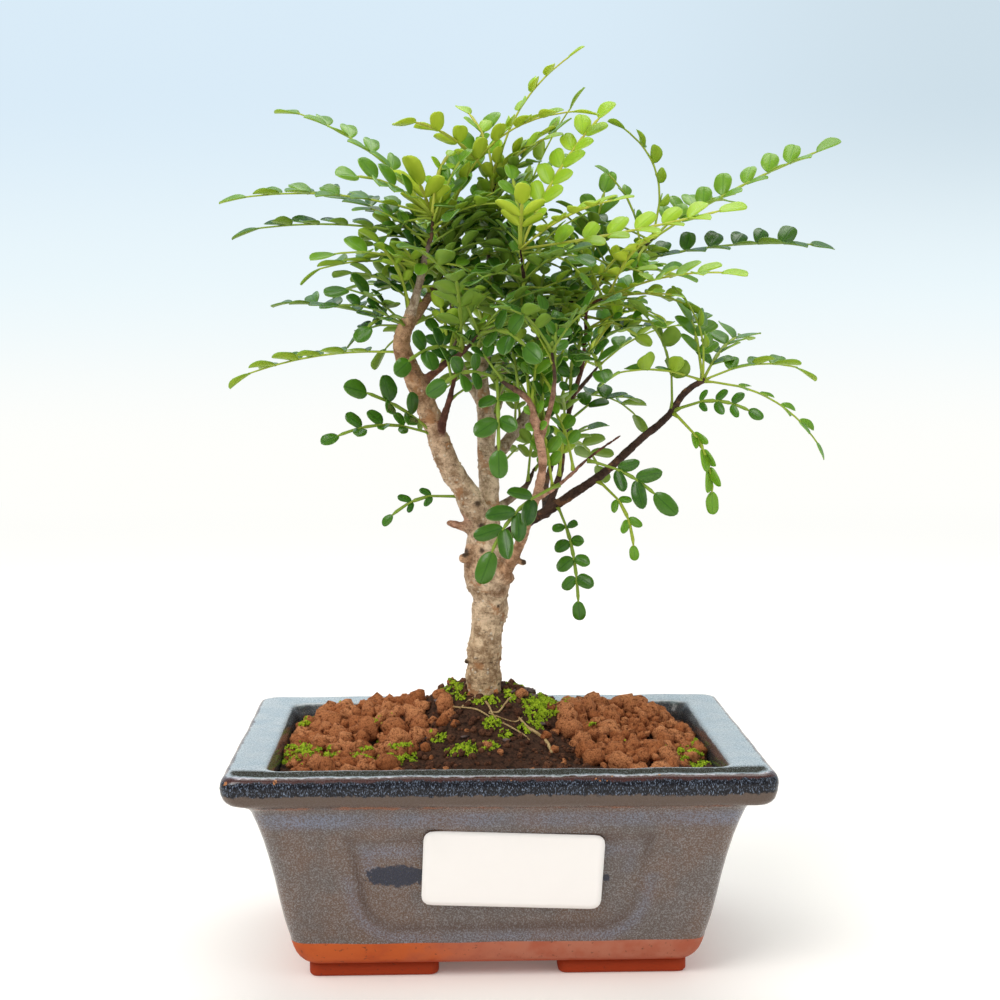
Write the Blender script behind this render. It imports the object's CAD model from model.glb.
"""A chinese pepper bonsai in its glazed pot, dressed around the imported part.

Sizes are in millimetres about a point on the table under the pot, +X to the right, +Y to the back and
+Z up, unless a name says otherwise. Every finished piece is moved into the row frame in metres.
"""

import logging
import math
import random
from dataclasses import dataclass, field
from enum import Enum
from typing import Iterable, Sequence

import bmesh
import bpy
from mathutils import Matrix, Vector, kdtree, noise


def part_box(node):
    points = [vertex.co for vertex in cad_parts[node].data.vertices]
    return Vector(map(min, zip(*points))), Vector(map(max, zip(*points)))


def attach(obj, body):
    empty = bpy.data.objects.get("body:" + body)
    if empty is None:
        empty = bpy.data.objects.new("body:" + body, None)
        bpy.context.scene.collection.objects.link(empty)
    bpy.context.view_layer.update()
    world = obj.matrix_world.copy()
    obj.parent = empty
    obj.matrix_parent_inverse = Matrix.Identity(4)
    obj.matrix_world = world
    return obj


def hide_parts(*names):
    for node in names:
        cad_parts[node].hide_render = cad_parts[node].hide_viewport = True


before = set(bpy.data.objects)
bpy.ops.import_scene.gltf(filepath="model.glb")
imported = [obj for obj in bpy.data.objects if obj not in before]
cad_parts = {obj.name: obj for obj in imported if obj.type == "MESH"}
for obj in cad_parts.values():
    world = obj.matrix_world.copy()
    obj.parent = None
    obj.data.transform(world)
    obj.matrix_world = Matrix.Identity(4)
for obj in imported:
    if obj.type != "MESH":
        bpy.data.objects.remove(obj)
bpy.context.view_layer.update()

log = logging.getLogger("bonsai")

MM = 0.001
POT_LOW, POT_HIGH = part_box("pot")
POT_FOOT = Vector(((POT_LOW.x + POT_HIGH.x) / 2, (POT_LOW.y + POT_HIGH.y) / 2, POT_LOW.z))
POT_MIDDLE_Y = -2.1
TO_ROW = Matrix.Translation(POT_FOOT - Vector((0.0, POT_MIDDLE_Y * MM, 0.0))) @ Matrix.Scale(MM, 4)
RIM_HALF_X = (POT_HIGH.x - POT_LOW.x) / 2 / MM
RIM_HALF_Y = (POT_HIGH.y - POT_LOW.y) / 2 / MM
UP = Vector((0.0, 0.0, 1.0))

Colour = tuple[float, float, float]
Pair = tuple[float, float]
Point = tuple[float, float, float]
Ball = tuple[float, float, float, float]  # a place and a radius
Socket = bpy.types.NodeSocket
Material = bpy.types.Material
Object = bpy.types.Object
Mesh = bpy.types.Mesh
BMesh = bmesh.types.BMesh
BMVert = bmesh.types.BMVert
BMEdge = bmesh.types.BMEdge


def clamp(value: float, low: float, high: float) -> float:
    """Value kept between low and high."""
    return max(low, min(high, value))


def smoothstep(low: float, high: float, value: float) -> float:
    """0 below low, 1 above high, and a smooth rise between them."""
    share = clamp((value - low) / (high - low), 0.0, 1.0)
    return share * share * (3 - 2 * share)


def blend(a: float, b: float, share: float) -> float:
    """A number a share of the way from a to b."""
    return a + (b - a) * share


def wobble(place: Vector, size: float, seed: float = 0.0) -> float:
    """Smooth noise from about -1 to 1, with lumps of a size in millimetres. The seed shifts it."""
    return noise.noise(place / size + Vector((seed, -seed, 2 * seed)))


def stand(place: Vector, x: Vector, y: Vector, z: Vector) -> Matrix:
    """The matrix that lays the three axes along these directions at a place."""
    return Matrix.Translation(place) @ Matrix((x, y, z)).transposed().to_4x4()


@dataclass(frozen=True)
class Path:
    """A smooth curve through a list of points, each with a radius."""

    points: Sequence[Ball]

    def place(self, share: float) -> Vector:
        """The place a share of the way along.

        Args:
            share: from 0 at the start to 1 at the end.

        Returns:
            The place on the smooth curve.
        """
        spots = [Vector(point[:3]) for point in self.points]
        spots = [2 * spots[0] - spots[1], *spots, 2 * spots[-1] - spots[-2]]
        along = clamp(share, 0.0, 1.0) * (len(self.points) - 1)
        index = min(int(along), len(self.points) - 2)
        t = along - index
        a, b, c, d = spots[index:index + 4]
        bend = (2 * a - 5 * b + 4 * c - d) * t * t + (3 * b - a - 3 * c + d) * t * t * t
        return (2 * b + (c - a) * t + bend) / 2

    def tangent(self, share: float) -> Vector:
        """The direction a share of the way along."""
        step = 0.01
        return (self.place(min(1.0, share + step)) - self.place(max(0.0, share - step))).normalized()

    def radius(self, share: float) -> float:
        """The radius a share of the way along.

        Args:
            share: from 0 at the start to 1 at the end.

        Returns:
            The radius, even between two points.
        """
        along = clamp(share, 0.0, 1.0) * (len(self.points) - 1)
        index = min(int(along), len(self.points) - 2)
        return blend(self.points[index][3], self.points[index + 1][3], along - index)

    def rings(self, steps: int, roughness: float = 0.0) -> list[Matrix]:
        """Matrices that lay a unit circle round the path.

        Args:
            steps: how many stretches the path is cut into.
            roughness: how much each ring's radius may differ, as a share of it.

        Returns:
            One matrix for each ring, from the start to the end.
        """
        across = Vector((0.31, 0.87, 0.13))
        found = []
        for step in range(steps + 1):
            share = step / steps
            centre = self.place(share)
            tangent = self.tangent(share)
            across = (across - tangent * across.dot(tangent)).normalized()
            radius = self.radius(share) * (1 + roughness * wobble(centre, 4.0))
            found.append(stand(centre, across * radius, tangent.cross(across) * radius, tangent))
        return found


def verts_of(geom: Iterable[object]) -> list[BMVert]:
    """The corners among what a bmesh operator made."""
    return [item for item in geom if isinstance(item, BMVert)]


def sweep(bm: BMesh, rings: Sequence[Matrix], sides: int) -> list[BMVert]:
    """A closed skin grown from ring to ring by extrusion.

    Args:
        bm: the mesh that it is added to.
        rings: a matrix for each ring, which places a unit circle.
        sides: how many corners each ring has.

    Returns:
        The new corners.
    """
    made = bmesh.ops.create_circle(bm, cap_ends=True, segments=sides, radius=1.0, matrix=rings[0])
    verts = made["verts"]
    edges = list({edge for vert in verts for edge in vert.link_edges})
    everything = list(verts)
    for before, after in zip(rings, rings[1:]):
        grown = bmesh.ops.extrude_edge_only(bm, edges=edges)["geom"]
        verts = verts_of(grown)
        fresh = set(verts)
        edges = [item for item in grown if isinstance(item, BMEdge) and set(item.verts) <= fresh]
        bmesh.ops.transform(bm, matrix=after @ before.inverted(), verts=verts)
        everything += verts
    bmesh.ops.contextual_create(bm, geom=edges)
    return everything


def loft(
    bm: BMesh, rings: Sequence[Sequence[Vector]], layer: bmesh.types.BMLayerItem, marks: Sequence[float]
) -> None:
    """Bridges closed rings of the same number of points, one after another.

    Args:
        bm: the mesh that the skin is added to.
        rings: the points of each ring, in order round it.
        layer: a float layer of the mesh's corners.
        marks: the number that each ring's corners get in it.
    """
    before: list[BMEdge] = []
    for ring, mark in zip(rings, marks):
        verts = [bm.verts.new(point) for point in ring]
        for vert in verts:
            vert[layer] = mark
        edges = [bm.edges.new((a, b)) for a, b in zip(verts, verts[1:] + verts[:1])]
        if before:
            bmesh.ops.bridge_loops(bm, edges=before + edges)
        before = edges


def mesh_of(bm: BMesh, name: str) -> Mesh:
    """Turns a bmesh into a mesh of its own.

    Args:
        bm: the bmesh, which is freed.
        name: the mesh's name.

    Returns:
        The mesh.
    """
    mesh = bpy.data.meshes.new(name)
    bm.to_mesh(mesh)
    bm.free()
    return mesh


def tinted_mesh() -> BMesh:
    """An empty mesh whose corners carry the number named tint.

    Returns:
        The mesh.
    """
    bm = bmesh.new()
    bm.verts.layers.float.new("tint")
    return bm


def leafy_mesh() -> BMesh:
    """An empty mesh with the layers that leaflets carry.

    Returns:
        The mesh.
    """
    bm = tinted_mesh()
    bm.loops.layers.uv.new("leaf")
    return bm


def stamp(bm: BMesh, pattern: Mesh, matrix: Matrix, tint: float) -> None:
    """Adds a placed copy of a pattern mesh.

    Args:
        bm: the mesh that the copy is added to.
        pattern: the mesh to copy.
        matrix: where the copy goes.
        tint: the copy's number in the attribute named tint.
    """
    copy = pattern.copy()
    copy.transform(matrix)
    copy.attributes["tint"].data.foreach_set("value", [tint] * len(copy.vertices))
    bm.from_mesh(copy)
    bpy.data.meshes.remove(copy)


def add_object(name: str, data: bpy.types.ID) -> Object:
    """Adds an object to the scene.

    Args:
        name: its name.
        data: its mesh, light or camera.

    Returns:
        The object.
    """
    made = bpy.data.objects.new(name, data)
    bpy.context.scene.collection.objects.link(made)
    return made


def finish_piece(
    name: str,
    bm: BMesh,
    materials: Iterable[Material],
    replaced: Sequence[str] = (),
    smooth: bool = True,
) -> Object:
    """Turns a mesh laid out in millimetres into a piece of the row.

    Args:
        name: the piece's name.
        bm: its mesh about the pot's middle. It is freed.
        materials: its materials, in the order of their indices.
        replaced: the CAD nodes that it stands for.
        smooth: whether its faces are shaded smooth.

    Returns:
        The piece's object.
    """
    bmesh.ops.transform(bm, matrix=TO_ROW, verts=bm.verts)
    for face in bm.faces:
        face.smooth = smooth
    mesh = mesh_of(bm, name)
    for material in materials:
        mesh.materials.append(material)
    piece = add_object(name, mesh)
    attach(piece, "root")
    if replaced:
        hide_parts(*replaced)
    log.info("%s: %d faces", name, len(mesh.polygons))
    return piece


class NodeBench:
    """Short calls that lay out the nodes of one material."""

    def __init__(self, name: str) -> None:
        """Starts a material with an empty Principled shader.

        Args:
            name: the material's name.
        """
        self.material = bpy.data.materials.new(name)
        self.material.use_nodes = True
        self.nodes = self.material.node_tree.nodes
        self.links = self.material.node_tree.links
        self.nodes.clear()
        self.shader = self.nodes.new("ShaderNodeBsdfPrincipled")
        output = self.nodes.new("ShaderNodeOutputMaterial")
        self.links.new(self.shader.outputs["BSDF"], output.inputs["Surface"])
        self.place = self.nodes.new("ShaderNodeTexCoord").outputs["Object"]

    def feed(self, value: object, socket: Socket) -> None:
        """Links a socket, or sets a plain value, into a socket.

        Args:
            value: another node's socket, a colour, a place or a number.
            socket: where it goes.
        """
        if isinstance(value, Socket):
            self.links.new(value, socket)
        elif isinstance(value, tuple) and len(value) == 3 and socket.type == "RGBA":
            socket.default_value = (*value, 1.0)
        else:
            socket.default_value = value

    def set(self, **values: object) -> None:
        """Sets or links the shader's sockets, named with underscores for spaces."""
        for name, value in values.items():
            self.feed(value, self.shader.inputs[name.replace("_", " ")])

    def node(self, kind: str, sockets: dict[object, object], **settings: str) -> bpy.types.Node:
        """Adds a node.

        Args:
            kind: its type, without the start that all types share.
            sockets: what its sockets get, by name or place.
            settings: its own settings.

        Returns:
            The node.
        """
        made = self.nodes.new(f"ShaderNode{kind}")
        for name, value in settings.items():
            setattr(made, name, value)
        for key, value in sockets.items():
            self.feed(value, made.inputs[key])
        return made

    def noise(
        self, size: float, detail: float = 3.0, rough: float = 0.55, stretch: Point = (1, 1, 1)
    ) -> Socket:
        """Noise whose lumps are about a size in millimetres.

        Args:
            size: how wide a lump is.
            detail: how many finer layers it has.
            rough: how strong the finer layers are.
            stretch: how much denser it is along each axis.

        Returns:
            The socket of its value.
        """
        place = self.node("Mapping", {"Scale": stretch, "Vector": self.place}).outputs["Vector"]
        sockets = {"Scale": 1 / (size * MM), "Detail": detail, "Roughness": rough, "Vector": place}
        return self.node("TexNoise", sockets).outputs["Fac"]

    def cells(self, size: float) -> Socket:
        """Distance to the nearest of scattered points about a size in millimetres apart."""
        return self.node("TexVoronoi", {"Scale": 1 / (size * MM), "Vector": self.place}).outputs["Distance"]

    def step(self, value: object, low: float, high: float) -> Socket:
        """A smooth rise from 0 at low to 1 at high."""
        ends = {"Value": value, "From Min": low, "From Max": high}
        return self.node("MapRange", ends, interpolation_type="SMOOTHSTEP").outputs["Result"]

    def maths(self, operation: str, a: object, b: object = 0.0) -> Socket:
        """One step of arithmetic."""
        return self.node("Math", {0: a, 1: b}, operation=operation).outputs[0]

    def times(self, a: object, b: object) -> Socket:
        """The product of two values."""
        return self.maths("MULTIPLY", a, b)

    def plus(self, a: object, b: object) -> Socket:
        """The sum of two values."""
        return self.maths("ADD", a, b)

    def mix(self, share: object, a: object, b: object, how: str = "MIX") -> Socket:
        """A blend of two colours."""
        return self.node("Mix", {0: share, 6: a, 7: b}, data_type="RGBA", blend_type=how).outputs[2]

    def range(self, value: object, low: float, high: float) -> Socket:
        """A value from 0 to 1 laid over another range."""
        return self.node("MapRange", {"Value": value, "To Min": low, "To Max": high}).outputs["Result"]

    def attribute(self, name: str, output: str = "Fac") -> Socket:
        """An attribute of the mesh, as a number or a colour."""
        return self.node("Attribute", {}, attribute_name=name).outputs[output]

    def across(self, map_name: str) -> tuple[Socket, Socket]:
        """The two numbers of a UV map, as the sockets along and across."""
        split = self.node("SeparateXYZ", {"Vector": self.node("UVMap", {}, uv_map=map_name).outputs["UV"]})
        return split.outputs["X"], split.outputs["Y"]

    def spot(self, axis: str, start: float = 0.0) -> Socket:
        """How far a place lies along an axis, in millimetres from a start in metres."""
        split = self.node("SeparateXYZ", {"Vector": self.place})
        return self.times(self.maths("SUBTRACT", split.outputs[axis], start), 1 / MM)

    def band(self, value: object, low: float, high: float, blur: float) -> Socket:
        """1 where a value lies between low and high, with blurred ends."""
        rise = self.step(value, low - blur, low + blur)
        return self.times(rise, self.step(value, high + blur, high - blur))

    def blot(self, centre: Point, half: Point, ragged: object) -> Socket:
        """1 inside a blot with ragged edges.

        Args:
            centre: its middle, in millimetres right of, behind and above the pot's foot.
            half: its half widths.
            ragged: a socket from 0 to 1 that frays its edge.

        Returns:
            The socket of the blot.
        """
        total: object = 0.0
        for axis, middle, reach, start in zip("XYZ", centre, half, POT_FOOT):
            far = self.maths("DIVIDE", self.maths("SUBTRACT", self.spot(axis, start), middle), reach)
            total = self.plus(total, self.times(far, far))
        return self.step(self.plus(total, self.range(ragged, -1.5, 1.5)), 1.15, 0.75)

    def bump(self, value: object, strength: float, depth: float) -> None:
        """Lets a value raise the surface, on top of what raises it already.

        Args:
            value: the socket of the height.
            strength: from 0 to 1.
            depth: how high a value of 1 stands, in millimetres.
        """
        node = self.node("Bump", {"Strength": strength, "Distance": depth * MM, "Height": value})
        normal = self.shader.inputs["Normal"]
        if normal.is_linked:
            self.links.new(normal.links[0].from_socket, node.inputs["Normal"])
        self.links.new(node.outputs["Normal"], normal)


@dataclass(frozen=True)
class StonewareGlaze:
    """Speckled blue-grey glaze over brown stoneware. It pools blue, and breaks brown on the edges.

    The attribute named walk runs along the pot's profile, in millimetres from the rim's outermost line,
    up over the rim and down the inside, and below 0 down the outside. The bands are stretches of it.
    """

    umber: Colour = (0.092, 0.066, 0.054)
    earth: Colour = (0.115, 0.064, 0.04)
    haze: Colour = (0.25, 0.245, 0.25)
    blue: Colour = (0.17, 0.2, 0.29)
    fleck: Colour = (0.5, 0.52, 0.55)
    steel: Colour = (0.29, 0.36, 0.4)
    ice: Colour = (0.4, 0.44, 0.455)
    night: Colour = (0.005, 0.005, 0.008)
    streak: Colour = (0.2, 0.25, 0.34)
    rust: Colour = (0.05, 0.011, 0.008)
    lilac: Colour = (0.5, 0.47, 0.53)
    lip: Colour = (0.115, 0.083, 0.066)
    line: Colour = (0.3, 0.1, 0.03)
    olive: Colour = (0.035, 0.034, 0.024)
    burnt: Colour = (0.06, 0.027, 0.016)
    navy: Colour = (0.004, 0.007, 0.026)
    chip: Colour = (0.42, 0.17, 0.06)
    blots: tuple[Point, Point] = ((-28.0, -43.0, 31.4), (29.4, -43.0, 30.2))
    blot_halves: tuple[Point, Point] = ((9.0, 9.0, 3.2), (1.0, 9.0, 1.1))
    front: Pair = (-43.5, -47.0)
    top_start: Pair = (3.2, 4.6)
    inner_start: Pair = (13.0, 15.4)
    strip_band: Pair = (4.9, 12.4)
    lip_band: Pair = (-9.0, -1.7)
    dark_band: Pair = (-1.9, 2.6)
    rust_band: Pair = (2.3, 4.1)
    lilac_band: Pair = (3.8, 4.5)
    chip_band: Pair = (1.6, 4.4)
    seam_band: Pair = (-10.3, -8.6)
    dull_band: Pair = (-9.0, 2.0)

    def body(self, bench: NodeBench, grain: object, drift: object) -> Socket:
        """The colour of the wall: speckled umber with blue washes, brown edges and a navy blot.

        Args:
            bench: where the nodes are laid out.
            grain: the fine speckle.
            drift: the slow change over the wall.

        Returns:
            The socket of the colour.
        """
        colour = bench.mix(bench.step(bench.noise(16, 3, 0.6), 0.4, 0.62), self.umber, self.earth)
        haze = bench.times(bench.step(grain, 0.48, 0.64), bench.range(drift, 0.2, 1.0))
        colour = bench.mix(haze, colour, self.haze)
        wash = bench.times(bench.attribute("pool"), bench.step(grain, 0.34, 0.58))
        colour = bench.mix(wash, colour, self.blue)
        flecks = bench.step(bench.noise(0.34, 1, 0.5), 0.66, 0.74)
        colour = bench.mix(bench.times(flecks, 0.55), colour, self.fleck)
        broken = bench.times(bench.attribute("break"), bench.step(grain, 0.74, 0.5))
        colour = bench.mix(broken, colour, self.burnt)
        ragged = bench.noise(1.6, 4, 0.75)
        deep = bench.mix(bench.step(grain, 0.62, 0.9), self.navy, self.blue)
        for place, half, blue in zip(self.blots, self.blot_halves, (deep, self.navy)):
            colour = bench.mix(bench.blot(place, half, ragged), colour, blue)
        return colour

    def rim(self, bench: NodeBench, body: object, grain: object, drift: object) -> Socket:
        """The bands of the rim laid over the wall's colour.

        Args:
            bench: where the nodes are laid out.
            body: the wall's colour.
            grain: the fine speckle.
            drift: the slow change over the wall.

        Returns:
            The socket of the colour.
        """
        fine = bench.range(bench.noise(1.5, 3), -0.7, 0.7)
        uneven = bench.plus(bench.range(drift, -0.9, 0.9), fine)
        walk = bench.plus(bench.attribute("walk"), uneven)
        front = bench.step(bench.spot("Y", POT_FOOT.y), *self.front)
        top = bench.mix(bench.step(drift, 0.3, 0.72), self.steel, self.ice)
        top = bench.mix(bench.times(bench.step(grain, 0.5, 0.68), 0.45), top, self.fleck)
        strip_top = bench.times(bench.band(walk, *self.strip_band, 0.7), front)
        top = bench.mix(bench.times(strip_top, bench.step(grain, 0.78, 0.5)), top, self.olive)
        colour = bench.mix(bench.step(walk, *self.top_start), body, top)
        inner = bench.times(bench.step(walk, *self.inner_start), 0.92)
        colour = bench.mix(inner, colour, bench.mix(bench.step(grain, 0.5, 0.7), self.night, self.umber))
        colour = bench.mix(bench.band(walk, *self.lip_band, 0.4), colour, self.lip)
        strip = bench.noise(0.3, 2, 0.75, (1.0, 1.0, 0.4))
        dark = bench.mix(bench.step(strip, 0.52, 0.7), self.night, self.streak)
        colour = bench.mix(bench.band(walk, *self.dark_band, 0.3), colour, dark)
        colour = bench.mix(bench.band(walk, *self.rust_band, 0.35), colour, self.rust)
        broken = bench.step(bench.noise(2.2, 3), 0.42, 0.64)
        bright = bench.times(bench.band(walk, *self.lilac_band, 0.2), broken)
        colour = bench.mix(bench.times(bright, front), colour, self.lilac)
        rare = bench.step(bench.noise(2.6, 2), 0.68, 0.72)
        chips = bench.times(bench.band(walk, *self.chip_band, 0.3), rare)
        colour = bench.mix(chips, colour, self.chip)
        often = bench.step(bench.noise(7, 3), 0.36, 0.6)
        seam = bench.times(bench.band(walk, *self.seam_band, 0.5), often)
        matte = bench.times(bench.band(walk, *self.dull_band, 0.4), 0.6)
        dull = bench.maths("MAXIMUM", strip_top, matte)
        bench.set(Specular_IOR_Level=bench.range(dull, 0.5, 0.0), Coat_Weight=bench.range(dull, 0.3, 0.0))
        return bench.mix(bench.times(seam, 0.85), colour, self.line)

    def make(self) -> Material:
        """Lays out the material.

        Returns:
            The material.
        """
        bench = NodeBench("stoneware_glaze")
        drift = bench.noise(6, 4, 0.6)
        grain = bench.noise(0.45, 2, 0.7)
        colour = self.rim(bench, self.body(bench, grain, drift), grain, drift)
        bench.set(Base_Color=colour, Roughness=bench.range(grain, 0.16, 0.38))
        bench.set(Coat_Roughness=0.08)
        bench.bump(drift, 0.4, 0.35)
        bench.bump(grain, 0.3, 0.1)
        return bench.material


@dataclass(frozen=True)
class BareClay:
    """Unglazed orange clay, pinker to the right where a thin wash lies on it, with dark specks."""

    orange: Colour = (0.52, 0.1, 0.018)
    pink: Colour = (0.44, 0.15, 0.088)
    foot: Colour = (0.33, 0.034, 0.003)
    speck: Colour = (0.045, 0.02, 0.012)

    def make(self) -> Material:
        """Lays out the material.

        Returns:
            The material.
        """
        bench = NodeBench("bare_clay")
        cloud = bench.noise(8, 3, 0.6)
        rise = bench.plus(bench.spot("Z"), bench.range(cloud, -1.6, 1.6))
        side = bench.plus(bench.spot("X", POT_FOOT.x), bench.range(cloud, -24.0, 24.0))
        wall = bench.mix(bench.step(side, -34.0, 4.0), self.orange, self.pink)
        colour = bench.mix(bench.step(rise, 4.2, 6.0), self.foot, wall)
        colour = bench.mix(bench.range(bench.step(cloud, 0.4, 0.7), 0.0, 0.45), colour, self.foot)
        specks = bench.step(bench.noise(1.4, 4, 0.7), 0.6, 0.7)
        colour = bench.mix(bench.times(specks, 0.75), colour, self.speck)
        bench.set(Base_Color=colour, Roughness=0.66, Specular_IOR_Level=0.25)
        bench.bump(bench.noise(0.8, 3, 0.6), 0.5, 0.16)
        return bench.material


@dataclass(frozen=True)
class LabelPaper:
    """Bare white sticker paper with a faint sheen."""

    white: Colour = (0.97, 0.94, 0.91)
    shade: Colour = (0.95, 0.92, 0.89)

    def make(self) -> Material:
        """Lays out the material.

        Returns:
            The material.
        """
        bench = NodeBench("label_paper")
        bench.set(Base_Color=bench.mix(bench.noise(9, 2), self.white, self.shade), Roughness=0.42)
        bench.bump(bench.noise(2.5, 2), 0.15, 0.08)
        return bench.material


@dataclass(frozen=True)
class ScreenPlastic:
    """Black plastic mesh of the drain screens."""

    black: Colour = (0.02, 0.02, 0.02)

    def make(self) -> Material:
        """Lays out the material.

        Returns:
            The material.
        """
        bench = NodeBench("screen_plastic")
        bench.set(Base_Color=self.black, Roughness=0.55)
        return bench.material


@dataclass(frozen=True)
class Crumb:
    """A crumbly matte stuff: soil, clay grains, bark chips or moss.

    Its colours are low in the hollows, high on the faces and odd on the grains that lean to it. Its size
    is the width of its lumps in millimetres.
    """

    name: str
    low: Colour
    high: Colour
    odd: Colour
    size: float
    rough: float = 0.95

    def make(self) -> Material:
        """Lays out the material.

        Returns:
            The material.
        """
        bench = NodeBench(self.name)
        lumps = bench.noise(self.size, 4, 0.65)
        fine = bench.noise(self.size * 0.3, 3, 0.6)
        faces = bench.mix(bench.attribute("tint"), self.high, self.odd)
        colour = bench.mix(bench.step(lumps, 0.3, 0.52), self.low, faces)
        colour = bench.mix(bench.range(bench.step(fine, 0.54, 0.34), 0.0, 0.7), colour, self.low)
        bench.set(Base_Color=colour, Roughness=self.rough, Specular_IOR_Level=0.12)
        bench.bump(lumps, 1.0, self.size * 0.45)
        bench.bump(fine, 0.9, self.size * 0.2)
        return bench.material


@dataclass(frozen=True)
class Bark:
    """Bark whose tone follows the limb, with pale pimples, orange patches, rings and fine cracks."""

    patch: Colour = (0.36, 0.16, 0.06)
    pimple: Colour = (0.74, 0.64, 0.5)
    crack: Colour = (0.05, 0.028, 0.016)
    low: Colour = (0.5, 0.42, 0.34)
    high: Colour = (1.42, 1.44, 1.46)

    def make(self) -> Material:
        """Lays out the material.

        Returns:
            The material.
        """
        bench = NodeBench("bark")
        age = bench.attribute("age")
        rings = bench.noise(1.9, 4, 0.65, (0.45, 0.45, 1.9))
        blotch = bench.noise(6, 5, 0.65)
        fine = bench.noise(0.7, 3, 0.6)
        shade = bench.mix(bench.step(bench.noise(3.4, 6, 0.8), 0.36, 0.62), self.low, self.high)
        colour = bench.mix(1.0, bench.attribute("tone", "Color"), shade, "MULTIPLY")
        zones = bench.times(bench.step(bench.noise(13, 4, 0.7), 0.5, 0.62), 0.6)
        colour = bench.mix(zones, colour, bench.mix(1.0, colour, self.low, "MULTIPLY"))
        patches = bench.times(bench.step(blotch, 0.55, 0.62), bench.range(age, 0.3, 0.75))
        colour = bench.mix(patches, colour, self.patch)
        dots = bench.times(bench.step(bench.cells(2.1), 0.24, 0.14), bench.step(blotch, 0.42, 0.52))
        dots = bench.times(dots, age)
        colour = bench.mix(bench.times(dots, 0.75), colour, self.pimple)
        wrinkles = bench.step(bench.noise(1.2, 5, 0.75, (0.5, 0.5, 2.2)), 0.44, 0.34)
        colour = bench.mix(bench.times(wrinkles, 0.7), colour, self.crack)
        colour = bench.mix(bench.attribute("scar"), colour, self.crack)
        bench.set(Base_Color=colour, Roughness=0.8, Specular_IOR_Level=0.3)
        bench.bump(rings, 0.5, 0.4)
        bench.bump(fine, 0.6, 0.2)
        bench.bump(dots, 0.6, 0.3)
        return bench.material


class Tone(Enum):
    """How old a spray's leaves are. The value is the record's material slot."""

    YOUNG = "leaf_young"
    MID = "leaf_mid"
    DARK = "leaf_dark"

    @property
    def first_look(self) -> int:
        """The index of the tone's first material: upper face, then underside and stalk."""
        return 3 * list(Tone).index(self)


@dataclass(frozen=True)
class LeafSkin:
    """The upper face of a leaflet: glossy, with a sunk midrib, veins and a pale margin with gland dots."""

    name: str
    deep: Colour
    fresh: Colour
    vein: Colour
    gloss: float

    def make(self) -> Material:
        """Lays out the material.

        Returns:
            The material.
        """
        bench = NodeBench(self.name)
        along, across = bench.across("leaf")
        off = bench.maths("ABSOLUTE", bench.maths("SUBTRACT", across, 0.5))
        colour = bench.mix(bench.attribute("tint"), self.deep, self.fresh)
        mottle = bench.noise(1.8, 3, 0.6)
        colour = bench.mix(bench.range(bench.step(mottle, 0.4, 0.7), 0.0, 0.3), colour, self.fresh)
        rib = bench.step(off, 0.06, 0.015)
        slant = bench.plus(bench.times(along, 42.0), bench.times(off, -34.0))
        veins = bench.times(bench.step(bench.maths("SINE", slant), 0.75, 1.0), 0.3)
        colour = bench.mix(bench.times(veins, 0.12), colour, self.vein)
        colour = bench.mix(bench.times(rib, 0.45), colour, self.deep)
        dots = bench.step(bench.maths("SINE", bench.times(along, 62.0)), 0.1, 0.8)
        dots = bench.times(dots, bench.band(off, 0.4, 0.47, 0.015))
        rim = bench.maths("MAXIMUM", bench.step(off, 0.455, 0.492), bench.times(dots, 0.12))
        colour = bench.mix(bench.times(rim, 0.4), colour, self.vein)
        bench.set(Base_Color=colour, Roughness=self.gloss, Specular_IOR_Level=0.32)
        bench.set(Subsurface_Weight=0.15, Subsurface_Radius=(0.4, 0.8, 0.1), Subsurface_Scale=MM)
        raised = bench.maths("SUBTRACT", mottle, rib)
        bench.bump(raised, 0.3, 0.1)
        return bench.material


@dataclass(frozen=True)
class LeafBack:
    """A pale matte green: the underside of leaflets, or the stalk that carries them."""

    name: str
    green: Colour
    warm: Colour

    def make(self) -> Material:
        """Lays out the material.

        Returns:
            The material.
        """
        bench = NodeBench(self.name)
        colour = bench.mix(bench.noise(3, 2), self.green, self.warm)
        bench.set(Base_Color=colour, Roughness=0.5, Specular_IOR_Level=0.2)
        return bench.material


SKINS = {
    Tone.YOUNG: LeafSkin("leaf_young_top", (0.2, 0.4, 0.012), (0.38, 0.58, 0.025), (0.58, 0.72, 0.14), 0.38),
    Tone.MID: LeafSkin("leaf_mid_top", (0.055, 0.18, 0.01), (0.19, 0.38, 0.02), (0.38, 0.54, 0.13), 0.3),
    Tone.DARK: LeafSkin("leaf_dark_top", (0.015, 0.068, 0.007), (0.075, 0.2, 0.014), (0.24, 0.38, 0.1), 0.26),
}
BACKS = {
    Tone.YOUNG: LeafBack("leaf_young_back", (0.44, 0.6, 0.03), (0.54, 0.64, 0.06)),
    Tone.MID: LeafBack("leaf_mid_back", (0.22, 0.4, 0.02), (0.34, 0.47, 0.04)),
    Tone.DARK: LeafBack("leaf_dark_back", (0.12, 0.24, 0.022), (0.21, 0.32, 0.035)),
}
STALKS = {
    Tone.YOUNG: LeafBack("stalk_young", (0.44, 0.56, 0.05), (0.5, 0.44, 0.08)),
    Tone.MID: LeafBack("stalk_mid", (0.27, 0.42, 0.03), (0.4, 0.44, 0.06)),
    Tone.DARK: LeafBack("stalk_dark", (0.16, 0.3, 0.03), (0.28, 0.34, 0.05)),
}


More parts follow.
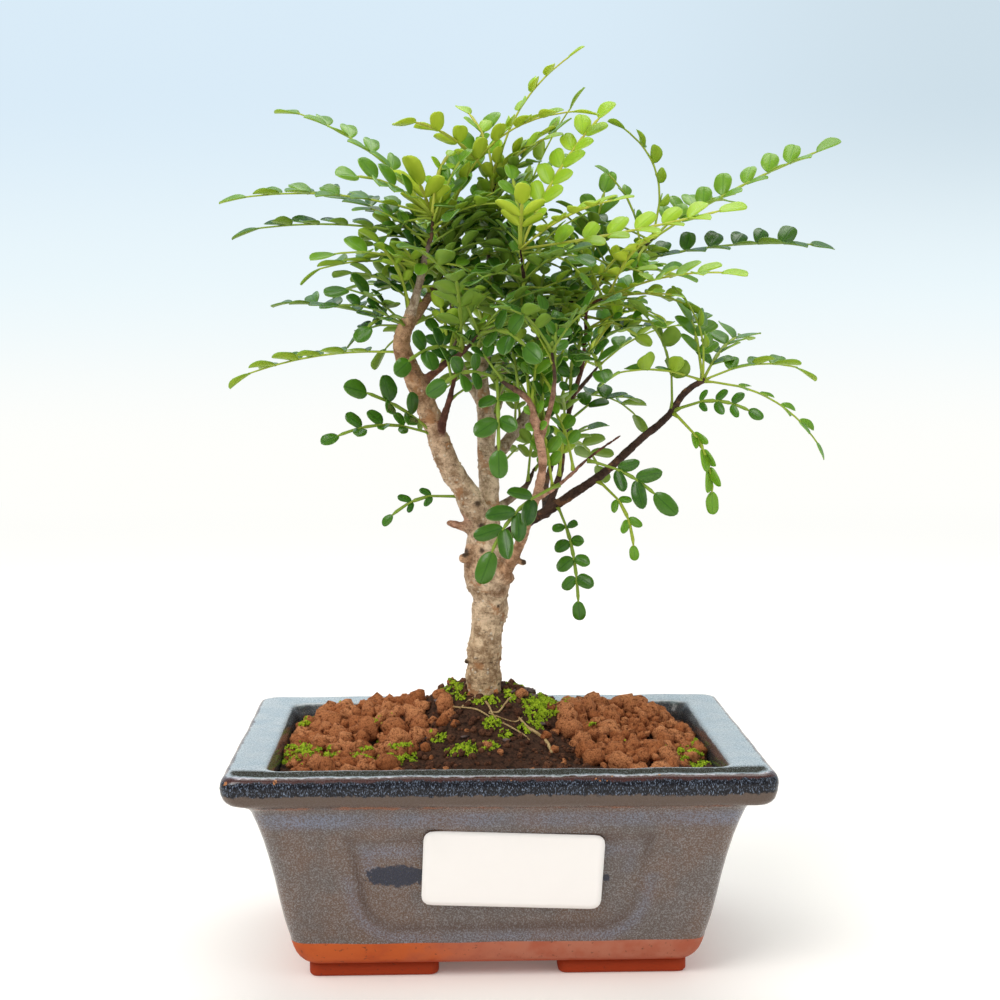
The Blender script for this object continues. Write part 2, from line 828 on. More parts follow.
@dataclass(frozen=True)
class Panel:
    """A shallow panel in a wall, square above and rounded at its lower corners."""

    top: float
    bottom: float
    low: float = 15.6
    high: float = 42.6
    corner: float = 8.0

    def depth_inside(self, along: float, z: float) -> float:
        """How far a place on the wall lies inside the panel's outline.

        Args:
            along: how far it is from the wall's middle.
            z: its height.

        Returns:
            The distance to the outline, which is negative outside it.
        """
        half = blend(self.bottom, self.top, (z - self.low) / (self.high - self.low))
        past = abs(along) - half
        under = self.low - z
        if past > -self.corner and under > -self.corner:
            return self.corner - math.hypot(past + self.corner, under + self.corner)
        return -max(past, under, z - self.high)


@dataclass
class Pot:
    """The fired pot: bullnose rim, tapered body with shallow panels, glaze line and corner feet."""

    corner: float = 4.8
    outside: Sequence[Pair] = (
        (21.9, 4.2), (21.0, 4.5), (20.4, 5.0), (19.4, 6.2), (18.6, 7.6), (17.9, 9.5), (17.5, 11.4),
        (16.6, 14.5), (15.7, 18.0), (14.5, 24.0), (13.4, 30.0), (12.1, 36.0), (10.6, 42.0), (9.2, 46.5),
        (7.8, 50.4), (7.1, 51.5), (6.3, 52.3), (4.6, 53.0), (3.2, 53.4), (2.2, 53.9), (1.4, 54.7),
        (0.8, 55.6), (0.25, 57.2), (0.0, 59.0), (0.15, 60.2), (0.5, 61.1), (1.0, 61.8), (1.8, 62.2),
        (2.8, 62.4), (4.0, 62.4), (7.4, 62.3), (10.8, 62.1), (11.7, 61.8), (12.3, 61.1),
    )
    inside: Sequence[Pair] = (
        (12.8, 59.4), (13.2, 57.5), (14.0, 50.0), (15.0, 42.0), (17.8, 26.0), (21.0, 12.0), (24.5, 9.6),
    )
    widest: Pair = (0.0, 59.0)
    finest: float = 1.25
    front: Panel = Panel(41.5, 36.0)
    end: Panel = Panel(25.0, 20.5)
    panel_depth: float = 0.9
    glaze_line: float = 11.4
    bead: float = 0.2
    across: int = 112
    deep: int = 80
    arc: int = 8
    foot_out: Pair = (53.2, 33.8)
    foot_long: Pair = (36.4, 21.0)
    foot_wall: float = 9.0
    foot_high: float = 4.2
    foot_round: float = 2.6
    sole_round: float = 1.1
    drain_radius: float = 6.0
    drain_offset: float = 24.0
    wall_end: float = -11.0
    rim_walk: Pair = (-9.0, 16.0)
    rim_above: float = 50.0
    rim_sag: float = 0.9

    def ring(self, inset: float, z: float) -> list[Vector]:
        """The pot's outline at a height.

        Args:
            inset: how far in from the rim's outer edge it runs.
            z: its height.

        Returns:
            The points round it.
        """
        half_x = RIM_HALF_X - inset - self.corner
        half_y = RIM_HALF_Y - inset - self.corner
        points: list[Vector] = []
        for quarter, (sign_x, sign_y) in enumerate(((1, 1), (-1, 1), (-1, -1), (1, -1))):
            centre = Vector((sign_x * half_x, POT_MIDDLE_Y + sign_y * half_y, z))
            for step in range(self.arc + 1):
                angle = (quarter + step / self.arc) * math.pi / 2
                points.append(centre + self.corner * Vector((math.cos(angle), math.sin(angle), 0.0)))
            straight, reach = (self.across, half_x) if quarter in (0, 2) else (self.deep, half_y)
            along = Vector((-math.sin(angle), math.cos(angle), 0.0)) * 2 * reach / straight
            points += [points[-1] + along * step for step in range(1, straight)]
        return points

    def profile(self) -> list[tuple[float, float, float]]:
        """The whole profile in short steps.

        Returns:
            The inset and height of each ring, and how far along the profile it lies.
        """
        corners = [*self.outside, *self.inside]
        fine = [corners[0]]
        for near, far in zip(corners, corners[1:]):
            cuts = max(1, math.ceil(math.dist(near, far) / self.finest)) if far[1] > self.glaze_line else 1
            fine += [
                (blend(near[0], far[0], cut / cuts), blend(near[1], far[1], cut / cuts))
                for cut in range(1, cuts + 1)
            ]
        walked = [0.0]
        for near, far in zip(fine, fine[1:]):
            walked.append(walked[-1] + math.dist(near, far))
        start = walked[fine.index(self.widest)]
        return [(inset, z, far - start) for (inset, z), far in zip(fine, walked)]

    def panel_place(self, point: Vector) -> float:
        """How far a place on the wall lies inside the nearest panel's outline.

        Args:
            point: the place.

        Returns:
            The distance to the outline, which is negative outside it.
        """
        y = point.y - POT_MIDDLE_Y
        if RIM_HALF_Y - abs(y) < RIM_HALF_X - abs(point.x):
            return self.front.depth_inside(point.x, point.z)
        return self.end.depth_inside(y, point.z)

    def shape(self) -> BMesh:
        """The pot's mesh, with its feet and drain holes.

        Returns:
            The mesh, whose corners know how far along the profile they lie.
        """
        bm = bmesh.new()
        walk = bm.verts.layers.float.new("walk")
        steps = self.profile()
        loft(bm, [self.ring(inset, z) for inset, z, _ in steps], walk, [far for _, _, far in steps])
        self.add_floor(bm)
        bmesh.ops.recalc_face_normals(bm, faces=bm.faces)
        for face in bm.faces:
            low = face.calc_center_median().z < self.glaze_line
            face.material_index = 1 if low and face.normal.z < 0.5 else 0
        for sign_x in (1, -1):
            for sign_y in (1, -1):
                self.add_foot(bm, sign_x, sign_y)
        bmesh.ops.recalc_face_normals(bm, faces=bm.faces)
        bm.normal_update()
        self.carve(bm)
        return bm

    def add_floor(self, bm: BMesh) -> None:
        """Closes the underside and the floor round the two drain holes.

        Args:
            bm: the mesh of the walls.
        """
        levels = (self.outside[0][1], self.inside[-1][1])
        borders = [
            [edge for edge in bm.edges if edge.is_boundary and abs(edge.verts[0].co.z - z) < 0.01]
            for z in levels
        ]
        holes: list[list[BMEdge]] = [[], []]
        for z, border in zip(levels, borders):
            for hole, sign in zip(holes, (1, -1)):
                seat = Matrix.Translation((sign * self.drain_offset, POT_MIDDLE_Y, z))
                made = bmesh.ops.create_circle(bm, segments=32, radius=self.drain_radius, matrix=seat)
                loop = list({edge for vert in made["verts"] for edge in vert.link_edges})
                hole += loop
                border += loop
            bmesh.ops.triangle_fill(bm, use_beauty=True, edges=border, normal=(0.0, 0.0, 1.0))
        for hole in holes:
            bmesh.ops.bridge_loops(bm, edges=hole)

    def add_foot(self, bm: BMesh, sign_x: int, sign_y: int) -> None:
        """Adds one L-shaped corner foot, let into the underside.

        Args:
            bm: the pot's mesh.
            sign_x: 1 for the right side, -1 for the left.
            sign_y: 1 for the back, -1 for the front.
        """
        (out_x, out_y), (long_x, long_y) = self.foot_out, self.foot_long
        corners = [
            (out_x - long_x, out_y), (out_x, out_y), (out_x, out_y - long_y),
            (out_x - self.foot_wall, out_y - long_y), (out_x - self.foot_wall, out_y - self.foot_wall),
            (out_x - long_x, out_y - self.foot_wall),
        ]
        verts = [bm.verts.new((sign_x * x, POT_MIDDLE_Y + sign_y * y, 0.0)) for x, y in corners]
        outline = [bm.edges.new(pair) for pair in zip(verts, verts[1:] + verts[:1])]
        sole = bmesh.ops.contextual_create(bm, geom=outline)["faces"][0]
        grown = bmesh.ops.extrude_face_region(bm, geom=[sole])["geom"]
        tops = verts_of(grown)
        bmesh.ops.translate(bm, verts=tops, vec=(0.0, 0.0, self.foot_high + 1.0))
        own = {face for vert in verts + tops for face in vert.link_faces}
        upright = {
            edge for face in own for edge in face.edges
            if abs(edge.verts[0].co.z - edge.verts[1].co.z) > 1.0
        }
        bmesh.ops.bevel(
            bm, geom=list(upright), offset=self.foot_round, affect="EDGES", segments=5, profile=0.5,
            material=-1,
        )
        low = [edge for edge in bm.edges if all(abs(vert.co.z) < 0.01 for vert in edge.verts)]
        mine = [
            edge for edge in low
            if edge.verts[0].co.x * sign_x > 0 and (edge.verts[0].co.y - POT_MIDDLE_Y) * sign_y > 0
        ]
        bmesh.ops.bevel(
            bm, geom=mine, offset=self.sole_round, affect="EDGES", segments=3, profile=0.5, material=-1
        )
        for face in bm.faces:
            if face.calc_center_median().z < self.foot_high:
                face.material_index = 1

    def carve(self, bm: BMesh) -> None:
        """Recesses the panels, lets glaze line and rim wander, and notes where the glaze pools and breaks.

        Args:
            bm: the pot's mesh.
        """
        walk = bm.verts.layers.float["walk"]
        pool = bm.verts.layers.float.new("pool")
        broken = bm.verts.layers.float.new("break")
        for vert in bm.verts:
            place = vert.co.copy()
            flat = Vector((vert.normal.x, vert.normal.y, 0.0))
            if vert[walk] < self.wall_end and place.z > self.glaze_line - 0.05 and flat.length > 0.3:
                inside = self.panel_place(place)
                vert.co -= flat.normalized() * self.panel_depth * smoothstep(-1.0, 1.0, inside)
                worn = smoothstep(-0.75, 0.1, wobble(place, 14.0, 3.0))
                vert[broken] = worn * math.exp(-((inside - 0.3) / 1.2) ** 2)
                beside = inside - 4.0 if place.z > 32.0 else inside + 2.6
                halo = 0.5 * math.exp(-(beside / 1.9) ** 2)
                cove = smoothstep(45.0, 47.5, place.z) * (1 - smoothstep(49.5, 51.5, place.z))
                cloud = 0.75 + 0.6 * wobble(place, 13.0, 5.0)
                vert[pool] = clamp((halo + 0.75 * cove) * cloud, 0.0, 1.0)
                if abs(place.z - self.glaze_line) < 0.05:
                    vert.co.z += 0.35 * wobble(place, 16.0, 1.0)
                    vert.co += flat.normalized() * self.bead
            if place.z > self.rim_above:
                far = vert[walk]
                if self.rim_walk[0] < far < self.rim_walk[1]:
                    lift = 0.22 * wobble(place, 13.0, 7.0) + 0.1 * wobble(place, 5.0, 2.0)
                    vert.co += vert.normal * (lift - 0.3)
                if self.wall_end - 1.0 < far < 0.0:
                    under = smoothstep(-12.0, -5.0, far) * (1 - smoothstep(-4.0, 0.0, far))
                    vert.co.z -= self.rim_sag * smoothstep(-50.0, 75.0, place.x) * under

    def build(self) -> Object:
        """The pot's piece."""
        looks = [StonewareGlaze().make(), BareClay().make()]
        return finish_piece("glazed_pot", self.shape(), looks, ["pot"])


@dataclass
class ShopLabel:
    """The bare white sticker on the pot's front, with one corner slightly lifted."""

    pot: Pot
    x: float = 3.6
    z: float = 33.2
    long: float = 49.6
    high: float = 22.2
    corner: float = 2.6
    turn: float = -2.3
    thick: float = 0.22
    gap: float = 0.3
    lift: float = 0.8

    def wall(self, z: float) -> float:
        """Where the pot's front wall stands.

        Args:
            z: the height.

        Returns:
            The wall's Y there.
        """
        profile = self.pot.outside
        for (inset_a, low), (inset_b, high) in zip(profile, profile[1:]):
            if low <= z <= high and high > low:
                return POT_MIDDLE_Y - RIM_HALF_Y + blend(inset_a, inset_b, (z - low) / (high - low))
        raise ValueError(f"the label leaves the wall at {z}")

    def build(self) -> Object:
        """Builds the label's piece, as flat as stiff paper.

        Returns:
            Its object.
        """
        bm = bmesh.new()
        bmesh.ops.create_grid(bm, x_segments=32, y_segments=16, size=1.0)
        angle = math.radians(self.turn)
        half_x, half_z = self.long / 2, self.high / 2
        low, high = self.z - half_z, self.z + half_z
        for vert in bm.verts:
            u, w = vert.co.x * half_x, vert.co.y * half_z
            past_u, past_w = abs(u) - half_x + self.corner, abs(w) - half_z + self.corner
            if past_u > 0 and past_w > 0:
                reach = math.hypot(past_u, past_w)
                pull = max(past_u, past_w) / reach
                u = math.copysign(half_x - self.corner + past_u * pull, u)
                w = math.copysign(half_z - self.corner + past_w * pull, w)
            x = self.x + u * math.cos(angle) - w * math.sin(angle)
            z = self.z + u * math.sin(angle) + w * math.cos(angle)
            curl = smoothstep(0.72, 1.0, -u / half_x) * smoothstep(0.4, 1.0, w / half_z)
            y = blend(self.wall(low), self.wall(high), (z - low) / (high - low))
            vert.co = Vector((x, y - self.gap - self.lift * curl, z))
        bmesh.ops.recalc_face_normals(bm, faces=bm.faces)
        if next(iter(bm.faces)).normal.y > 0:
            bmesh.ops.reverse_faces(bm, faces=bm.faces)
        bmesh.ops.solidify(bm, geom=bm.faces[:], thickness=self.thick)
        return finish_piece("blank_label", bm, [LabelPaper().make()], ["shop_label"])


@dataclass
class SoilBed:
    """The soil: dark and crumbly, level at the wall and mounded to the trunk."""

    pot: Pot
    edge: float = 56.4
    mound: float = 15.8
    spread: float = 26.0
    bank: float = 4.6
    ripple: float = 0.5
    bottom: float = 11.2
    trunk: Pair = (-3.0, 4.0)
    inset: float = 13.7
    grid: tuple[int, int] = (190, 130)
    cover: Pair = (0.83, 0.78)
    taper: Pair = (0.84, 0.8)

    def height(self, x: float, y: float) -> float:
        """The height of the soil's even surface.

        Args:
            x: the place's X.
            y: its Y.

        Returns:
            The height, raised at the trunk and along the back.
        """
        away = math.hypot(x - self.trunk[0], (y - self.trunk[1]) * 1.1)
        mound = self.mound * math.exp(-((away / self.spread) ** 2))
        back = smoothstep(-8.0, 18.0, y) * (1 - smoothstep(30.0, 40.0, y))
        back *= 1 - smoothstep(46.0, 60.0, abs(x))
        waves = math.sin(x * 0.41 + 1.3) * math.cos(y * 0.53) + math.sin(x * 0.17 - y * 0.31)
        return self.edge + mound + self.bank * back + self.ripple * waves

    def keep_in(self, x: float, y: float, inset: float) -> Pair:
        """The nearest place that is not outside the pot's inner outline.

        Args:
            x: the place's X.
            y: its Y.
            inset: how far in from the rim's edge the outline runs.

        Returns:
            The place as x and y.
        """
        corner = self.pot.corner
        half_x, half_y = RIM_HALF_X - inset, RIM_HALF_Y - inset
        x, y = clamp(x, -half_x, half_x), clamp(y - POT_MIDDLE_Y, -half_y, half_y)
        past_x, past_y = abs(x) - half_x + corner, abs(y) - half_y + corner
        reach = math.hypot(past_x, past_y)
        if past_x > 0 and past_y > 0 and reach > corner:
            x = math.copysign(half_x - corner + past_x * corner / reach, x)
            y = math.copysign(half_y - corner + past_y * corner / reach, y)
        return x, y + POT_MIDDLE_Y

    def crumble(self, place: Vector) -> float:
        """How far crumbs stand out of the even surface at a place."""
        lumps = 0.7 * wobble(place, 4.5, 1.0) + 0.55 * abs(wobble(place, 1.9, 2.0))
        return lumps + 0.3 * abs(wobble(place, 0.9, 3.0))

    def build(self) -> Object:
        """Builds the soil's piece.

        Returns:
            Its object.
        """
        bm = tinted_mesh()
        bmesh.ops.create_grid(bm, x_segments=self.grid[0], y_segments=self.grid[1], size=1.0)
        half_x, half_y = RIM_HALF_X * self.cover[0], RIM_HALF_Y * self.cover[1]
        for vert in bm.verts:
            x, y = self.keep_in(vert.co.x * half_x, POT_MIDDLE_Y + vert.co.y * half_y, self.inset)
            vert.co = Vector((x, y, self.height(x, y) + self.crumble(Vector((x, y, 0.0)))))
        bmesh.ops.remove_doubles(bm, verts=bm.verts, dist=0.02)
        border = [edge for edge in bm.edges if edge.is_boundary]
        for vert in verts_of(bmesh.ops.extrude_edge_only(bm, edges=border)["geom"]):
            deep = POT_MIDDLE_Y + (vert.co.y - POT_MIDDLE_Y) * self.taper[1]
            vert.co = Vector((vert.co.x * self.taper[0], deep, self.bottom))
        bmesh.ops.holes_fill(bm, edges=[edge for edge in bm.edges if edge.is_boundary], sides=0)
        bmesh.ops.recalc_face_normals(bm, faces=bm.faces)
        dark = Crumb("dark_soil", (0.012, 0.007, 0.005), (0.075, 0.036, 0.022), (0.05, 0.03, 0.02), 2.2)
        return finish_piece("soil_bed", bm, [dark.make()], ["soil"])


def lump_patterns(count: int, cuts: int, rough: float, seed: int) -> list[Mesh]:
    """Irregular lumps about 1 mm in radius, to be copied.

    Args:
        count: how many different lumps.
        cuts: how finely each is cut.
        rough: how irregular they are.
        seed: shifts the noise that shapes them.

    Returns:
        The lumps' meshes.
    """
    patterns = []
    for kind in range(count):
        bm = tinted_mesh()
        bmesh.ops.create_cube(bm, size=1.3)
        bmesh.ops.subdivide_edges(bm, edges=bm.edges[:], cuts=cuts, use_grid_fill=True)
        for vert in bm.verts:
            ball = vert.co.normalized()
            even = vert.co.lerp(ball, 0.8)
            swell = 1 + rough * wobble(ball, 0.8, seed + kind) + 0.6 * rough * wobble(ball, 0.4, seed - kind)
            vert.co = even * swell
        for face in bm.faces:
            face.smooth = True
        patterns.append(mesh_of(bm, f"lump_{kind}"))
    return patterns


@dataclass
class ClayPile:
    """A pile of crumbly red-brown clay grains."""

    name: str
    node: str
    soil: SoilBed
    centre: Pair
    half: Pair
    seed: int
    stray: Sequence[Point]
    tries: int = 1500
    inset: float = 14.2
    close: float = 0.78
    smallest: float = 1.0
    largest: float = 3.8
    heap: float = 3.8
    heap_edge: float = 1.6
    grains: list[tuple[Vector, float]] = field(default_factory=list)

    def settle(self) -> None:
        """Drops the grains one by one onto the soil and onto each other."""
        draw = random.Random(self.seed)
        for _ in range(self.tries):
            angle = draw.uniform(0, 2 * math.pi)
            far = math.sqrt(draw.random())
            radius = blend(self.smallest, self.largest, draw.random() ** 1.25)
            x = self.centre[0] + self.half[0] * far * math.cos(angle)
            y = self.centre[1] + self.half[1] * far * math.sin(angle)
            x, y = self.soil.keep_in(x, y, self.inset + radius * 0.8)
            base = self.soil.height(x, y)
            z = base + 0.45 * radius
            for other, size in self.grains:
                apart = math.hypot(other.x - x, other.y - y)
                touch = self.close * (size + radius)
                if apart < touch:
                    z = max(z, other.z + math.sqrt(touch * touch - apart * apart))
            if z < base + blend(self.heap, self.heap_edge, far ** 2.5):
                self.grains.append((Vector((x, y, z)), radius))
        for x, y, radius in self.stray:
            self.grains.append((Vector((x, y, self.soil.height(x, y) + 0.5 * radius)), radius))

    def build(self, patterns: Sequence[Mesh], clay: Material) -> Object:
        """The pile's piece.

        Args:
            patterns: the lumps that its grains are copied from.
            clay: its material.

        Returns:
            The pile's object.
        """
        draw = random.Random(self.seed + 1)
        bm = tinted_mesh()
        self.settle()
        for centre, radius in self.grains:
            turn = Matrix.Rotation(draw.uniform(0, 6.28), 4, Vector((draw.random(), draw.random(), 0.3)))
            long, wide = radius * draw.uniform(1.0, 1.3), radius * draw.uniform(0.8, 1.1)
            size = Matrix.Diagonal((long, wide, radius, 1.0))
            tint = draw.random() ** 1.6
            stamp(bm, draw.choice(patterns), Matrix.Translation(centre) @ turn @ size, tint)
        return finish_piece(self.name, bm, [clay], [self.node])


# Single grains near the trunk, which have rolled off the piles: place and radius.
LEFT_STRAY = (
    (-15.0, -2.0, 2.9), (-13.6, -7.6, 2.1), (-15.4, -9.8, 1.9), (-12.0, -12.0, 1.2), (-19.0, -14.0, 1.8),
    (-20.5, -19.5, 1.5), (-17.0, 4.5, 1.6), (-12.6, 12.0, 1.6), (-18.5, -5.5, 1.5), (-16.0, 16.0, 1.2),
)
RIGHT_STRAY = (
    (19.4, -4.0, 1.8), (17.6, -9.0, 1.3), (16.6, -20.0, 1.3), (14.4, -14.0, 1.5), (17.0, 3.0, 1.4),
)


@dataclass
class LooseGround:
    """What lies loose on the soil: crumbs, single clay grains, moss, pale roots and bark chips."""

    soil: SoilBed
    piles: Sequence[ClayPile]
    moss_seed: int = 5
    moss_dense: float = 17.0
    moss_patches: Sequence[Ball] = (
        (-57.5, -14.0, 6.5, 8.5), (-50.4, -20.5, 6.5, 5.0), (-38.0, -22.0, 4.8, 4.2),
        (-27.4, -21.8, 4.8, 4.2), (-34.0, -3.4, 4.6, 3.6), (-9.3, -21.4, 5.6, 3.4),
        (-2.7, -20.6, 3.4, 2.8), (15.5, 5.0, 5.4, 7.0),
        (17.0, 12.0, 6.0, 6.0), (12.0, -1.0, 4.4, 5.0), (56.0, -20.7, 7.0, 5.4), (61.0, -5.1, 3.0, 5.0),
        (-13.0, 8.0, 3.6, 4.0), (-13.0, 18.0, 4.0, 4.0), (-14.0, 30.0, 4.0, 4.0), (-3.0, -3.4, 5.0, 2.2),
        (4.4, 1.0, 2.4, 4.5), (-10.2, 2.6, 2.2, 4.0), (-27.0, 35.0, 4.6, 3.4), (-49.0, 35.0, 5.0, 3.4),
        (25.0, 20.0, 5.0, 5.0), (6.0, 33.0, 6.0, 4.0), (-58.0, 20.0, 3.0, 5.0), (40.0, -12.0, 2.2, 1.8),
        (30.0, -2.0, 2.4, 2.0), (8.0, 14.0, 4.0, 4.0), (12.0, -4.0, 3.4, 6.0),
        (-1.0, -12.0, 3.0, 2.4), (3.0, -15.0, 2.4, 1.8), (8.4, -11.0, 2.2, 2.0), (-17.0, -15.0, 2.6, 2.0),
    )
    root_slim: float = 0.68
    roots: Sequence[Sequence[Point]] = (
        ((-14.0, -2.0, 0.3), (-11.4, -3.8, 0.35), (-8.0, -6.5, 0.4), (-5.0, -8.0, 0.45), (-1.2, -10.5, 0.3)),
        ((-3.5, -2.6, 0.5), (-2.0, -5.5, 0.5), (-0.9, -9.1, 0.4), (0.6, -12.0, 0.25)),
        ((6.5, 1.5, 0.3), (4.6, -2.0, 0.4), (2.8, -4.6, 0.45), (0.9, -7.3, 0.5), (-1.8, -8.4, 0.35)),
        ((7.0, -8.0, 0.4), (9.6, -10.4, 0.6), (12.6, -12.6, 0.8), (14.8, -16.6, 0.8), (15.8, -22.0, 0.4)),
        ((2.0, -12.0, 0.3), (5.0, -12.6, 0.35), (8.4, -15.0, 0.3), (9.6, -18.0, 0.2)),
        ((-6.5, -1.0, 0.55), (-8.4, -3.6, 0.4), (-11.8, -6.0, 0.3)),
        ((-2.0, -9.0, 0.3), (1.5, -10.0, 0.35), (5.6, -9.6, 0.3), (8.0, -7.6, 0.2)),
    )
    chips: Sequence[Ball] = (
        (9.0, 10.0, 3.6, 0.3), (31.0, 30.0, 2.8, 1.1), (-15.5, 0.5, 2.8, -0.3), (-9.0, -17.0, 1.6, 0.8),
        (14.0, -6.0, 1.8, 2.0), (33.0, -16.0, 1.5, 0.2), (-20.0, -14.0, 1.7, 1.4), (3.0, -18.0, 1.5, 2.4),
        (5.6, 3.0, 1.9, 1.2), (12.0, 6.0, 1.7, 2.6),
    )
    twig: Sequence[Point] = ((27.0, 28.0, 0.5), (32.0, 29.5, 0.4), (37.0, 29.0, 0.25))

    def on_soil(self, x: float, y: float, lift: float = 0.0) -> Vector:
        """A place on the soil's surface, raised by a distance."""
        crumb = max(0.0, self.soil.crumble(Vector((x, y, 0.0))))
        return Vector((x, y, self.soil.height(x, y) + crumb * 0.6 + lift))

    def on_top(self, x: float, y: float, lift: float) -> Vector:
        """A place on the soil, or on the clay grains that cover it.

        Args:
            x: the place's X.
            y: its Y.
            lift: how far it is raised.

        Returns:
            The place.
        """
        place = self.on_soil(x, y)
        for pile in self.piles:
            for centre, radius in pile.grains:
                apart = math.hypot(centre.x - x, centre.y - y)
                if apart < 0.85 * radius:
                    place.z = max(place.z, centre.z + 0.75 * math.sqrt(radius * radius - apart * apart))
        place.z += lift
        return place

    def scatter(
        self, name: str, count: int, sizes: Pair, material: Material,
        patterns: Sequence[Mesh], seed: int,
    ) -> Object:
        """Strews small lumps over the soil.

        Args:
            name: the piece's name.
            count: how many lumps.
            sizes: the smallest and largest radius.
            material: their material.
            patterns: the lumps that they are copied from.
            seed: the seed of their places.

        Returns:
            The piece's object.
        """
        draw = random.Random(seed)
        bm = tinted_mesh()
        for _ in range(count):
            x, y = draw.uniform(-60, 60), POT_MIDDLE_Y + draw.uniform(-42, 42)
            radius = blend(*sizes, draw.random() ** 2.2)
            x, y = self.soil.keep_in(x, y, 15.0 + radius)
            turn = Matrix.Rotation(draw.uniform(0, 6.28), 4, Vector((draw.random(), draw.random(), 0.2)))
            spread = Matrix.Diagonal((radius, radius * draw.uniform(0.7, 1.1), radius * 0.85, 1.0))
            seat = Matrix.Translation(self.on_soil(x, y, 0.3 * radius))
            stamp(bm, draw.choice(patterns), seat @ turn @ spread, draw.random())
        return finish_piece(name, bm, [material])

    def moss(self) -> Object:
        """Builds the moss: low cushions of many tiny upright shoots.

        Returns:
            Its object.
        """
        draw = random.Random(self.moss_seed)
        shoot = tinted_mesh()
        bmesh.ops.create_cone(
            shoot, cap_ends=False, segments=5, radius1=0.42, radius2=0.04, depth=0.8,
            matrix=Matrix.Translation((0.0, 0.0, 0.25)),
        )
        pattern = mesh_of(shoot, "moss_shoot")
        bm = tinted_mesh()
        for x, y, half_x, half_y in self.moss_patches:
            for _ in range(int(self.moss_dense * half_x * half_y)):
                angle, far = draw.uniform(0, 6.28), math.sqrt(draw.random())
                px = x + half_x * far * math.cos(angle) * draw.uniform(0.8, 1.15)
                py = y + half_y * far * math.sin(angle) * draw.uniform(0.8, 1.15)
                px, py = self.soil.keep_in(px, py, 14.0)
                tuft = wobble(Vector((px, py, 0)), 1.7)
                if tuft < -0.2:
                    continue
                cushion = 1 - far * far + 0.9 * tuft
                bend = draw.uniform(0, 1.2)
                lean = Matrix.Rotation(bend, 4, Vector((draw.uniform(-1, 1), draw.uniform(-1, 1), 0.1)))
                seat = Matrix.Translation(self.on_top(px, py, cushion - 0.3))
                size = Matrix.Scale(draw.uniform(0.5, 1.2), 4)
                stamp(bm, pattern, seat @ lean @ size, clamp(draw.random() * 0.5 + cushion * 0.4, 0.0, 1.0))
        green = Crumb("moss", (0.06, 0.12, 0.006), (0.28, 0.44, 0.018), (0.56, 0.72, 0.04), 1.2, 0.8)
        return finish_piece("moss", bm, [green.make()], smooth=False)

    def pale_roots(self) -> Object:
        """Builds the fine pale roots that lie on the soil in front of the trunk.

        Returns:
            Their object.
        """
        bm = tinted_mesh()
        for line in self.roots:
            points = []
            for x, y, radius in line:
                lift = 0.45 + 0.6 * wobble(Vector((x, y, 0)), 2.0)
                points.append((*self.on_soil(x, y, lift), self.root_slim * radius))
            sweep(bm, Path(points).rings(6 * (len(points) - 1), 0.4), 7)
        bmesh.ops.recalc_face_normals(bm, faces=bm.faces)
        straw = Crumb("pale_root", (0.3, 0.18, 0.07), (0.58, 0.42, 0.2), (0.5, 0.33, 0.12), 1.5, 0.7)
        return finish_piece("surface_roots", bm, [straw.make()])

    def bark_chips(self, patterns: Sequence[Mesh]) -> Object:
        """Flat dark chips of bark and a twig on the soil.

        Args:
            patterns: the lumps that they are pressed from.

        Returns:
            The chips' object.
        """
        bm = tinted_mesh()
        for index, (x, y, size, turn) in enumerate(self.chips):
            seat = Matrix.Translation(self.on_soil(x, y, 0.6)) @ Matrix.Rotation(turn, 4, "Z")
            tilt = Matrix.Rotation(0.25 - 0.1 * index, 4, "X")
            flat = Matrix.Diagonal((size, size * 0.5, size * 0.22, 1.0))
            stamp(bm, patterns[index % len(patterns)], seat @ tilt @ flat, 0.3 * (index % 3))
        line = [(*self.on_soil(x, y, 3.2), radius) for x, y, radius in self.twig]
        sweep(bm, Path(line).rings(6, 0.3), 6)
        dark = Crumb("bark_chip", (0.03, 0.02, 0.018), (0.16, 0.11, 0.1), (0.3, 0.22, 0.2), 2.0, 0.8)
        return finish_piece("bark_chips", bm, [dark.make()])


class BarkTone(Enum):
    """Colours that the bark of a limb may start or end with."""

    STRAW = (0.5, 0.35, 0.2)
    PALE = (0.54, 0.41, 0.285)
    GREY = (0.42, 0.33, 0.245)
    TAN = (0.42, 0.25, 0.145)
    ROSE = (0.43, 0.24, 0.16)
    RED = (0.1, 0.036, 0.022)
    DARK = (0.05, 0.026, 0.017)


@dataclass(frozen=True)
class Limb:
    """One limb of the tree: the bark's tone at its start and end, and its path with radii."""

    start: BarkTone
    end: BarkTone
    points: Sequence[Ball]

    @property
    def path(self) -> Path:
        """The limb's smooth path."""
        return Path(self.points)


STRAW, PALE, GREY, TAN, ROSE, RED, DARK = BarkTone

